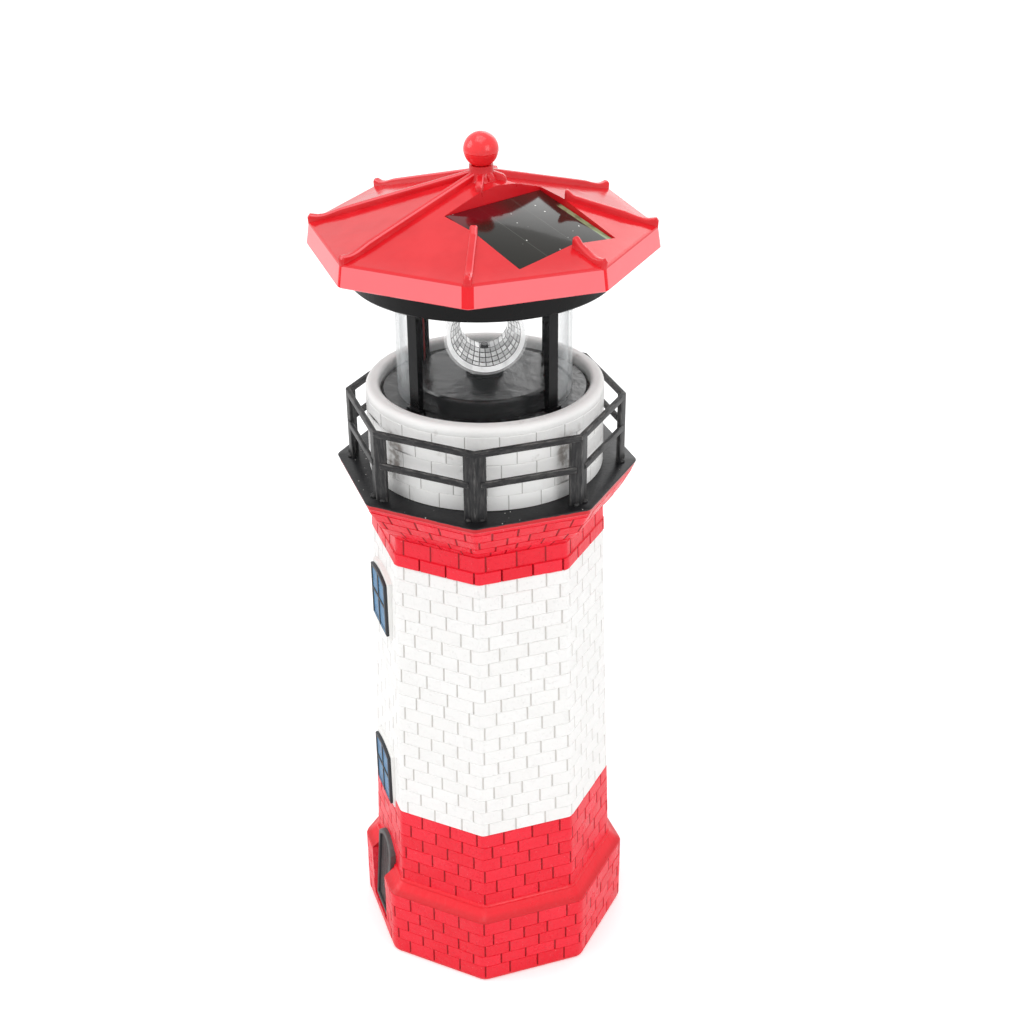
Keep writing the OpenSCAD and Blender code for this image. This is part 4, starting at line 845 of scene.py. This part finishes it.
def buildRoofSkin():
    corner, lean, rounding = roof["corner"], roof["lean"], roof["round"]

    def cornerOf(flat, c):  # the corner radius of a rounded octagon that is so far across its flats
        return (flat - c) / math.cos(halfTurn) + c

    top, inner = corner - lean, corner - roof["wall"] / math.cos(halfTurn)
    levels = [(roof["apex"] - roof["wall"] - 0.7, 0.0, 0.0), (roof["ceiling"], roof["ceilingReach"], 1.0),
              (roof["innerEave"], inner - lean, 1.0), (roof["eave"], inner, 1.0),
              (roof["eave"], corner - 0.35, rounding - 0.2),
              (roof["eave"] + 0.3, corner, rounding), (roof["fascia"] - 0.35, top + 0.06, rounding),
              (roof["fascia"] - 0.08, top - 0.1, rounding)]
    levels += [(z, cornerOf(d, rounding) - (0.3 if d > 45 else 0), rounding) for d, z in roof["facets"]]
    levels += [(roofHeight(10), cornerOf(10, 1.0), 1.0), (roof["apex"], 0.0, 0.0)]
    bm = wrappedRings(levels, roof["bends"])
    strip = bm.faces.layers.float.new("strip")
    outside = bm.faces.layers.float.new("outside")
    for f in bm.faces:
        spot = f.calc_center_median()
        flat = math.hypot(spot.x, spot.y)
        heading = math.degrees(math.atan2(spot.y, spot.x))
        off = (heading + 22.5) % 45 - 22.5
        # Faces by the fascia's corners are marked for the deeper red of a painted shade.
        width = roof["stripWidth"] if abs(heading + 22.5) < 10 else roof["stripThin"]
        upright = roof["eave"] - 1 < spot.z < roof["fascia"] - 0.1 and abs(f.normal.z) < 0.5
        f[strip] = 1.0 if upright and flat * math.radians(22.5 - abs(off)) < width else 0.0
        f[outside] = 1.0 if f.normal.z > 0.3 and spot.z > roof["fascia"] - 0.5 else 0.0
    toPanel = Matrix.Rotation(-math.radians(panel["turn"]), 3, "Z")
    bmesh.ops.rotate(bm, verts=bm.verts, matrix=toPanel)
    gap, wide = panel["gap"], panel["gap"] + panel["lip"]
    for grow in (gap, wide):
        for x in (panel["near"] - grow, panel["far"] + grow):
            cut(bm, (x, 0, 0), (1, 0, 0))
        for y in (panel["left"] - grow, panel["right"] + grow):
            cut(bm, (0, y, 0), (0, 1, 0))
    gone = [f for f in bm.faces if (f[outside] and inWindow(f.calc_center_median(), gap)) or
            (f.normal.z < -0.3 and f.calc_center_median().z > roof["innerEave"] + 0.2 and
             inWindow(f.calc_center_median(), wide))]
    bmesh.ops.delete(bm, geom=gone, context="FACES")
    rim = [e for e in bm.edges if e.is_boundary]
    upper = [e for e in rim if all(inWindow(v.co, gap + 0.01) for v in e.verts)]
    grown = bmesh.ops.extrude_edge_only(bm, edges=upper)["geom"]
    for v in (g for g in grown if isinstance(g, bmesh.types.BMVert)):
        v.co.z = panelHeight(v.co.x) - panel["shelf"]
    lower = [g for g in grown if isinstance(g, bmesh.types.BMEdge) and g.is_boundary]
    bmesh.ops.bridge_loops(bm, edges=lower + [e for e in rim if e not in upper])
    for f in bm.faces:
        if abs(f.normal.z) < 0.3 and inWindow(f.calc_center_median(), gap + 0.05):
            f.material_index = 1
    bmesh.ops.rotate(bm, verts=bm.verts, matrix=toPanel.inverted())
    bmesh.ops.recalc_face_normals(bm, faces=bm.faces)
    finishPiece("roofSkin", bm, "lantern", [roofPaint, wallPaint], ("roof_cap",), 14)


ribs = {
    "width": 2.15, "proud": 1.8, "sink": 1.4, "start": 3.0, "end": 49.2, "curl": 2.25,
    "sweep": [(7.6, 1.62), (5.8, 1.42), (4.2, 1.36), (2.8, 1.5), (1.6, 1.85), (0.6, 2.15)],  # in, and up
    "nose": [(0.0, -0.5), (0.15, 0.45), (0.6, 0.8), (1.2, 0.6)],  # out, and up from the rib's top
    "breaks": {22.5: (4.8, 37.3), 67.5: (7.0, 23.0), -22.5: (9.0, 27.2)},  # where a rib stops and restarts
}


def ribTop(x):
    return roofHeight(x, halfTurn) + ribs["proud"]


def ribLine(start, end, kind):  # a rib's side view as (x, z): full, stub or restart
    tip, fascia = ribs["end"], roof["fascia"]
    bottom = [(x, roofHeight(x, halfTurn) - ribs["sink"]) for x in (end, start)]
    if kind == "restart":
        tops = [(start + out, ribTop(start) + up) for out, up in ribs["nose"]]
        tops.append((start + 2.4, ribTop(start + 2.4) + 0.15))
    else:
        tops = [(start, ribTop(start))]
    if end > 20:
        first, last, steps = start + 3, end - 5, 9
        middle = [first + (last - first) * i / steps for i in range(steps + 1)]
        tops += [(x, ribTop(x)) for x in middle]
    if kind == "stub":
        tops += [(end - 0.9, ribTop(end - 0.9) - 0.1), (end - 0.25, ribTop(end) - 0.5),
                 (end, ribTop(end) - 1.2)]
        bottom[0] = (end - 0.3, bottom[0][1])
    else:
        bottom[0] = (tip - 0.3, fascia - 1.2)
        tops = [t for t in tops if t[0] < tip - 8.4]
        tops += [(tip - back, roofHeight(tip - back, halfTurn) + up) for back, up in ribs["sweep"]]
        tops += [(tip, fascia + ribs["curl"] - 0.75), (tip - 0.1, fascia - 0.3)]
    return tops + bottom


def buildRibs():
    bm = bmesh.new()
    strip = bm.faces.layers.float.new("strip")
    wear = bm.faces.layers.float.new("wear")
    width, first, last = ribs["width"], ribs["start"], ribs["end"]
    for side in range(octagonSides):
        heading = 22.5 + 45 * side
        heading = heading - 360 if heading > 180 else heading
        spans = [(first, last, "full")]
        if heading in ribs["breaks"]:
            stop, restart = ribs["breaks"][heading]
            spans = [(first, stop, "stub"), (restart, last, "restart")]
        for start, end, kind in spans:
            line = ribLine(start, end, kind)
            before = set(bm.verts)
            face = bm.faces.new([bm.verts.new((x, -width / 2, z)) for x, z in line])
            grown = bmesh.ops.extrude_face_region(bm, geom=[face])["geom"]
            far = [g for g in grown if isinstance(g, bmesh.types.BMVert)]
            bmesh.ops.translate(bm, vec=(0, width, 0), verts=far)
            floor = {round(z, 4) for _, z in line[-2:]}
            mine = set(bm.verts) - before
            rims = [e for e in {e for v in mine for e in v.link_edges}
                    if abs(e.verts[0].co.y - e.verts[1].co.y) < 1e-6 and
                    not all(round(v.co.z, 4) in floor for v in e.verts)]
            rounded = bmesh.ops.bevel(bm, geom=rims, offset=width * 0.3, affect="EDGES", segments=4,
                                      profile=0.5, material=-1, clamp_overlap=True)["faces"]
            # Upward faces of the rounding on one side of each rib are marked for a painted highlight.
            for f in rounded:
                f[wear] = 1.0 if f.is_valid and 0.4 < f.normal.z < 0.9 and f.normal.y > 0 else 0.0
            mine = [v for v in set(bm.verts) - before if v.is_valid]
            bmesh.ops.rotate(bm, verts=mine, matrix=Matrix.Rotation(math.radians(heading), 3, "Z"))
    for face in bm.faces:
        face[strip] = 1.0
    bmesh.ops.recalc_face_normals(bm, faces=bm.faces)
    finishPiece("roofRibs", bm, "lantern", [roofPaint], (), 50)


neck = {
    "outline": [(0.0, 256.4), (5.4, 256.4), (4.4, 257.1), (3.8, 258.0), (3.45, 259.2), (3.4, 260.9),
                (0.0, 260.9)],
}
bosses = {"ring": 31, "turns": (112.5, 202.5, 292.5), "height": 238.5, "radius": 2.8, "length": 10}


def buildNeck():  # the turned foot of the ball, and the screw bosses under the roof
    bm = bmesh.new()
    turned(bm, neck["outline"], 48, False)
    for turn in bosses["turns"]:
        angle = math.radians(turn)
        made = bmesh.ops.create_cone(bm, cap_ends=True, segments=32, radius1=bosses["radius"],
                                     radius2=bosses["radius"], depth=bosses["length"])["verts"]
        spot = (bosses["ring"] * math.cos(angle), bosses["ring"] * math.sin(angle), bosses["height"])
        bmesh.ops.translate(bm, vec=spot, verts=made)
    finishPiece("roofNeck", bm, "lantern", [roofPaint], (), 40)


ball = {
    "centre": 265.1, "radius": 4.9, "seam": -7.0, "groove": 0.12, "foot": -58,
    "red": (255, 52, 58), "redDark": (246, 42, 48),
}


def buildBall():
    centre, radius, seam, groove = ball["centre"], ball["radius"], ball["seam"], ball["groove"]
    angle = math.radians(seam)
    low = curve((0, centre), radius - groove * 0.4, ball["foot"], seam - 1.3, 18)
    dip = [((radius - groove * 1.6) * math.cos(angle), centre + radius * math.sin(angle))]
    high = curve((0, centre), radius, seam + 1.0, 90, 30)
    bm = bmesh.new()
    turned(bm, [(0, low[0][1])] + low + dip + high, 72, False)
    finishPiece("finialBall", bm, "lantern", [ballPaint], ("finial_ball",), 50)


def buildPanel():
    bm = bmesh.new()
    x0, x1, y0, y1 = panel["near"], panel["far"], panel["left"], panel["right"]
    addBox(bm, (x0, y0, -panel["deep"]), (x1, y1, 0))
    edges = [e for e in bm.edges if all(v.co.z > -0.1 for v in e.verts)]
    bmesh.ops.bevel(bm, geom=edges, offset=panel["soft"], affect="EDGES", segments=2, profile=0.5,
                    material=-1)
    for v in bm.verts:
        v.co.z += panelHeight(v.co.x)
    bmesh.ops.rotate(bm, verts=bm.verts, matrix=Matrix.Rotation(math.radians(panel["turn"]), 3, "Z"))
    finishPiece("solarPanel", bm, "lantern", [panelFinish(panel)], ("solar_panel",), 30)


def roofFinish(colours):
    f = Finish("roofRed", IOR=1.5, Coat_Roughness=0.08, Specular_IOR_Level=0.35)
    z, fascia = f.axes()[2], colours["fascia"]
    cloud = f.grain(11, 3)
    red = f.mix(cloud.between(0.3, 0.7), paint(*colours["red"]), paint(*colours["redDark"]))
    down = z.between(fascia - 0.3, fascia, 1, 0)
    # The fascia is painted a paler red, a painted sheen, and its corner strips a deeper red, a painted shade.
    red = f.mix(down, red, f.mix(f.layer("strip"), paint(*colours["fasciaSheenRed"]), paint(*colours["strip"])))
    # A deeper red line just below the fascia's top edge: painted shade.
    rim = z.between(fascia - 0.6, fascia - 0.4) * z.between(fascia, fascia + 0.12, 1, 0)
    red = f.mix(rim * 0.85, red, paint(*colours["edgeShadeLine"]))
    # Painted highlight on one side of the rounded rib edges.
    red = f.mix(f.layer("wear") * 0.6, red, paint(*colours["glint"]))
    f.set("Base Color", red)
    f.set("Roughness", cloud * 0.12 + 0.1)
    f.set("Coat Weight", cloud * 0.1 + 0.1)
    f.bump(f.grain(6, 2) + f.grain(1.2, 3) * 0.12, 0.1)
    return f.material


def ballFinish(colours):
    f = Finish("ballRed", IOR=1.49, Coat_Weight=0.2)
    cloud = f.grain(8, 3)
    f.set("Base Color", f.mix(cloud.between(0.3, 0.7), paint(*colours["red"]), paint(*colours["redDark"])))
    f.set("Roughness", cloud * 0.12 + 0.14)
    f.bump(f.grain(5.6, 2), 0.03)
    return f.material


def panelFinish(colours):
    f = Finish("panelGlass", IOR=1.5, Coat_Roughness=0.04, Specular_IOR_Level=0.2)
    turn = math.radians(colours["turn"])
    x, y = f.axes()[:2]
    u = x * math.cos(turn) + y * math.sin(turn)
    v = y * math.cos(turn) - x * math.sin(turn)
    cloud = f.grain(14, 3)
    base = f.mix(cloud, paint(*colours["cell"]), paint(*colours["cellDark"]))
    first, second = [(v - line).size().between(0.12, 0.25, 1, 0) for line in colours["lines"]]
    base = f.mix((first + second) * 0.35, base, paint(*colours["line"]))
    # Dark red by the panel's inner edge nearest the roof wall: a painted reflection of that wall.
    wall = u.between(colours["near"] + 5, colours["near"] + 9, 1, 0) * v.between(-6, 4, 1, 0)
    base = f.mix(wall * 0.85, base, paint(*colours["glow"]))
    edge = v.between(colours["right"] - 2.0, colours["right"] - 1.7) * u.between(15, 17)
    base = f.mix(edge * f.grain(3).between(0.3, 0.5, 0.4, 0.8), base, paint(*colours["strip"]))
    speck = f.cells(2.6).between(0.07, 0.11, 1, 0) * f.grain(8).between(0.48, 0.55)
    f.set("Base Color", f.mix(speck, base, paint(*colours["speck"])))
    f.set("Roughness", cloud * 0.1 + 0.06)
    f.set("Coat Weight", cloud * 0.1 + 0.1)
    f.bump(f.grain(9, 2), 0.05)
    return f.material


roofPaint = roofFinish(roof)
wallPaint = plainFinish("windowWall", roof["wallRed"], roof["strip"], 0.2)
ballPaint = ballFinish(ball)

# Lantern and beacon

lantern = {
    "gloss": (16, 16, 17), "glossDark": (8, 8, 9), "satin": (28, 28, 30), "satinDark": (18, 18, 20),
    "tubeRadius": 25.7, "tubeWall": 1.2, "tubeLow": 194.55, "tubeHigh": 229.95, "tubeTint": (215, 220, 222),
    "soft": 0.25, "postSoft": 0.2, "posts": 4, "postTurn": -64.0, "postRing": 27.3, "blobTurn": 4.9,
    "flange": 195.1,
}
beacon = {
    "turn": -15.0, "centre": 214.3, "waist": 8.0, "rim": 12.0, "half": 10.0, "wall": 1.4, "power": 1.3,
    "facets": 30, "rings": [2.2, 4.0, 5.8, 7.5, 8.9], "band": 8.9, "inset": 0.21, "cut": 0.16,
    # The dark grey is a painted shade in the seams between the lens's cut faces; the white is painted
    # sparkle.
    "lampHole": 3.5, "pegHole": 1.4, "seam": (40, 44, 48), "sparkleWhite": (255, 255, 255),
}


def clearFinish(name, tint, rough, low, high, blend=0.35):
    f = Finish(name, IOR=1.49, Base_Color=paint(*tint))
    facing = f.node("ShaderNodeLayerWeight", None, {"Blend": blend}, "Facing")
    haze = f.grain(12, 2)
    f.set("Alpha", facing.between(0.25, 1.0, low, high))
    f.set("Roughness", haze * 0.06 + rough)
    f.bump(haze, 0.02)
    return f.material


def bowlFinish(colours):
    # The cut faces are painted white in random strengths and give off a faint light of their own, the seams
    # between them dark grey: painted sparkle, a painted light and painted shade on a clear lens that is no
    # lamp.
    f = Finish("bowlClear", IOR=1.49, Emission_Strength=0.35)
    facetSparkle, shell, haze = f.layer("facetSparkle"), f.layer("shell"), f.grain(4, 3)
    facing = f.node("ShaderNodeLayerWeight", None, {"Blend": 0.4}, "Facing").between(0.2, 0.95)
    f.set("Base Color", f.mix(facetSparkle, paint(*colours["seam"]), paint(*colours["sparkleWhite"])))
    f.set("Emission Color", f.mix(facetSparkle, (0, 0, 0, 1), (1, 1, 1, 1)))
    inside = facetSparkle * (haze.between(0.35, 0.65) * 0.3 + 0.05) + 0.6
    f.set("Alpha", shell * (facing * 0.6 + 0.1) + (1 - shell) * inside)
    f.set("Roughness", haze * 0.05 + 0.03)
    f.bump(haze, 0.03)
    return f.material


def bowlRadius(along):  # outside, at a distance from the waist
    flare = (abs(along) / beacon["half"]) ** beacon["power"]
    return beacon["waist"] + (beacon["rim"] - beacon["waist"]) * flare


def buildBeacon():
    wall, half = beacon["wall"], beacon["half"]
    bm = bmesh.new()
    outer = [(bowlRadius(t), t) for t in [half * i / 12 for i in range(-12, 13)]]
    rings = [-r for r in reversed(beacon["rings"])] + beacon["rings"]
    mouth = bowlRadius(half) - wall * 0.55
    inner = [(mouth, half)] + [(bowlRadius(t) - wall, t) for t in reversed(rings)] + [(mouth, -half)]
    turned(bm, outer + inner, beacon["facets"] * 2)
    facetSparkle = bm.faces.layers.float.new("facetSparkle")
    shell = bm.faces.layers.float.new("shell")

    def faceted(f):
        spot = f.calc_center_median()
        return abs(spot.z) < beacon["band"] and math.hypot(spot.x, spot.y) < bowlRadius(spot.z) - wall * 0.6

    inside = {f for f in bm.faces if faceted(f)}
    for f in bm.faces:
        spot = f.calc_center_median()
        f[shell] = 1.0 if math.hypot(spot.x, spot.y) > bowlRadius(spot.z) - wall * 0.3 else 0.0
        f[facetSparkle] = 1.0
    odd = [e for e in bm.edges if sum(f in inside for f in e.link_faces) == 2 and
           abs(e.verts[0].co.z - e.verts[1].co.z) > 0.3 and
           round(math.degrees(math.atan2(e.verts[0].co.y, e.verts[0].co.x)) / (180 / beacon["facets"])) % 2]
    bmesh.ops.dissolve_edges(bm, edges=odd, use_verts=False, use_face_split=False)
    cells = [f for f in bm.faces if faceted(f)]
    rng = random.Random(9)
    # Each cut face gets a random strength of painted sparkle; the seams get none.
    for f in cells:
        f[facetSparkle] = rng.uniform(0.5, 1.0)
    seams = bmesh.ops.inset_individual(bm, faces=cells, thickness=beacon["inset"],
                                       depth=beacon["cut"])["faces"]
    for f in seams:
        f[facetSparkle] = 0.0
    for side, radius in ((-1, beacon["lampHole"]), (1, beacon["pegHole"])):  # the ways in, above and below
        gone = [f for f in bm.faces if f.calc_center_median().x * side > 0 and
                math.hypot(*f.calc_center_median().yz) < radius]
        bmesh.ops.delete(bm, geom=gone, context="FACES")
        bmesh.ops.bridge_loops(bm, edges=[e for e in bm.edges if e.is_boundary])
    bmesh.ops.recalc_face_normals(bm, faces=bm.faces)
    lay = Matrix.Translation(Vector((0, 0, beacon["centre"]))) @ \
        Matrix.Rotation(math.radians(beacon["turn"]), 4, "Z") @ Matrix.Rotation(math.radians(90), 4, "Y")
    finishPiece("beaconBowls", bm, "beacon", [bowlClear], ("beacon_lens",), 6, lay)


def buildTube():
    bm = bmesh.new()
    r, wall, low, high = (lantern[k] for k in ("tubeRadius", "tubeWall", "tubeLow", "tubeHigh"))
    turned(bm, [(r, low), (r, high), (r - wall, high), (r - wall, low)], 128)
    finishPiece("clearTube", bm, "lantern", [tubeClear], ("lens_cylinder",), 40)


def buildBlobs():
    bm = bmesh.new()
    rng = random.Random(6)
    for post in range(lantern["posts"]):
        for side in (-1, 1):
            turn = math.radians(lantern["postTurn"] + 90 * post + side * lantern["blobTurn"])
            radius = lantern["postRing"] + rng.uniform(-0.2, 0.5)
            addBall(bm, (radius * math.cos(turn), radius * math.sin(turn), lantern["flange"] + 0.1),
                    rng.uniform(0.75, 1.05), 0.5)
    finishPiece("glueBlobs", bm, "lantern", [blackGloss], (), 60)


bodyOf = {node: body for body, nodes in frame["record"]["behaviour"]["bodies"].items() for node in nodes}


def dressNode(node, material, soft):  # a merged, softly edged copy of a CAD node
    bm = bmesh.new()
    bm.from_mesh(frame["nodes"][node].data)
    bmesh.ops.remove_doubles(bm, verts=bm.verts, dist=2e-6)
    bmesh.ops.dissolve_limit(bm, angle_limit=math.radians(0.5), verts=bm.verts, edges=bm.edges)
    bmesh.ops.recalc_face_normals(bm, faces=bm.faces)
    bmesh.ops.scale(bm, vec=(1 / mm, 1 / mm, 1 / mm), verts=bm.verts)
    name = "".join(part.capitalize() if i else part for i, part in enumerate(node.split("_"))) + "Dress"
    piece = finishPiece(name, bm, bodyOf[node], [material], (node,), 30)
    edges = piece.modifiers.new("softEdges", "BEVEL")
    edges.width = soft * mm
    edges.segments = 2
    edges.limit_method = "ANGLE"
    edges.angle_limit = math.radians(40)
    edges.harden_normals = True
    edges.use_clamp_overlap = True


blackGloss = plainFinish("blackGloss", lantern["gloss"], lantern["glossDark"], 0.08, 18.0, 0.4,
                         Specular_IOR_Level=0.6)
blackTray = plainFinish("blackTray", lantern["gloss"], lantern["glossDark"], 0.14, 12.0, 0.12,
                        Specular_IOR_Level=0.22)
blackSatin = plainFinish("blackSatin", lantern["satin"], lantern["satinDark"], 0.3, 5.0, 0.04,
                         Specular_IOR_Level=0.25)
tubeClear = clearFinish("tubeClear", lantern["tubeTint"], 0.02, 0.016, 0.5, 0.42)
bowlClear = bowlFinish(beacon)

finishes = {
    "painted_resin": brickPaint, "black_paint": railPaint, "black_plastic": blackSatin,
    "clear_plastic": tubeClear, "roof_red": roofPaint, "panel_dark": blackSatin,
    "foam_black": plainFinish("foam", (38, 38, 38), (24, 24, 24), 0.7, 1.2, 0.2),
    "steel": metalFinish("steel", (196, 196, 198), 0.2), "brass": metalFinish("brass", (214, 178, 100), 0.2),
    "white_nylon": plainFinish("nylon", (236, 235, 228), (222, 220, 210), 0.35, 2.0, 0.03),
    "board_green": plainFinish("boardGreen", (20, 108, 60), (12, 84, 44), 0.25, 2.5, 0.03),
    "lead_red": plainFinish("leadRed", (176, 34, 30), (150, 22, 20), 0.3, 1.5, 0.02),
    "cell_wrap": plainFinish("cellWrap", (40, 130, 78), (28, 108, 62), 0.18, 6.0, 0.03),
    "led_resin": clearFinish("ledResin", (250, 246, 226), 0.05, 0.55, 0.95),
}


def dressEverything():
    for node in ("lantern_base", "beacon_hub"):
        dressNode(node, blackGloss, lantern["soft"])
    dressNode("ceiling_tray", blackTray, lantern["soft"])
    for post in range(lantern["posts"]):
        dressNode(f"lantern_post_{post + 1}", blackTray, lantern["postSoft"])
    for part in frame["record"]["subparts"]:
        shape = frame["nodes"][part["node"]]
        shape.data.materials.clear()
        shape.data.materials.append(finishes[part["material_slot"]])


# Stage, light and camera

stage = {"floor": 6.0, "pale": (250, 250, 250), "world": 0.74, "seen": 0.3}
lamps = {  # place in metres, size, power and what it looks at
    "overhead": ((0.1, -0.1, 1.3), 0.9, 4.4, (0, 0, 0.15)),
    "left": ((-0.35, -1.1, 0.75), 0.7, 3.7, (0, 0, 0.15)),
    "right": ((1.05, 0.55, 0.6), 0.6, 2.6, (0, 0, 0.15)),
    "back": ((-0.9, 0.7, 0.7), 0.7, 1.6, (0, 0, 0.15)),
}
cameraFit = {
    "focal": 55.94, "sensor": 36.0, "place": (408.94, -131.30, 386.57),  # millimetres, then degrees
    "turn": 71.186, "tilt": 61.345, "roll": -0.524,
}


def buildStage():
    bm = bmesh.new()
    bmesh.ops.create_circle(bm, cap_ends=True, segments=64, radius=stage["floor"] / mm / 2)
    bmesh.ops.scale(bm, vec=(mm, mm, mm), verts=bm.verts)
    mesh = bpy.data.meshes.new("floor")
    bm.to_mesh(mesh)
    bm.free()
    floor = bpy.data.objects.new("floor", mesh)
    bpy.context.scene.collection.objects.link(floor)
    f = Finish("floorPale", Roughness=0.9, Emission_Strength=1.0)
    seen = f.node("ShaderNodeLightPath", None, None, "Is Camera Ray")
    f.set("Emission Color", f.mix(seen, (0, 0, 0, 1), (stage["seen"],) * 3 + (1,)))
    shade = f.grain(260, 2)
    f.set("Base Color", f.mix(shade, paint(*stage["pale"]), paint(*[c - 2 for c in stage["pale"]])))
    mesh.materials.append(f.material)


def lightStage():
    world = bpy.data.worlds.new("studio")
    bpy.context.scene.world = world
    world.use_nodes = True
    tree = world.node_tree
    path = tree.nodes.new("ShaderNodeLightPath")
    seen = path.outputs["Is Camera Ray"]
    for ray in ("Is Glossy Ray", "Is Transmission Ray"):
        most = tree.nodes.new("ShaderNodeMath")
        most.operation = "MAXIMUM"
        tree.links.new(seen, most.inputs[0])
        tree.links.new(path.outputs[ray], most.inputs[1])
        seen = most.outputs[0]
    level = tree.nodes.new("ShaderNodeMapRange")
    level.inputs["To Min"].default_value = stage["world"]
    level.inputs["To Max"].default_value = 1.0
    tree.links.new(seen, level.inputs["Value"])
    background = tree.nodes["Background"]
    background.inputs[0].default_value = (1, 1, 1, 1)
    tree.links.new(level.outputs[0], background.inputs[1])
    for name, (place, size, power, aim) in lamps.items():
        data = bpy.data.lights.new(name, "AREA")
        data.shape, data.size, data.energy = "SQUARE", size, power
        lamp = bpy.data.objects.new(name, data)
        lamp.location = place
        lamp.rotation_euler = (Vector(aim) - Vector(place)).to_track_quat("-Z", "Y").to_euler()
        bpy.context.scene.collection.objects.link(lamp)


def placeCamera():
    data = bpy.data.cameras.new("photoCamera")
    data.lens, data.sensor_width = cameraFit["focal"], cameraFit["sensor"]
    data.clip_start, data.clip_end = 0.01, 10.0
    camera = bpy.data.objects.new("photoCamera", data)
    bpy.context.scene.collection.objects.link(camera)
    turn = Matrix.Rotation(math.radians(cameraFit["turn"]), 4, "Z")
    tilt = Matrix.Rotation(math.radians(cameraFit["tilt"]), 4, "X")
    roll = Matrix.Rotation(math.radians(cameraFit["roll"]), 4, "Z")
    camera.matrix_world = Matrix.Translation(Vector(cameraFit["place"]) * mm) @ turn @ tilt @ roll
    bpy.context.scene.camera = camera


# Making it all

buildShaft()
buildPlinth()
for windowName, sill in zip(("lowerWindow", "upperWindow"), windows["sills"]):
    buildWindow(windowName, sill)
buildDoor()
buildDeck()
buildCurb()
buildRailing()
print("tower made")
buildRoofSkin()
buildRibs()
buildNeck()
buildBall()
buildPanel()
print("roof made")
buildTube()
buildBeacon()
buildBlobs()
dressEverything()
print("lantern made")
buildStage()
lightStage()
placeCamera()
print("stage, lamps and camera set")
bpy.context.scene.view_settings.view_transform = "Standard"
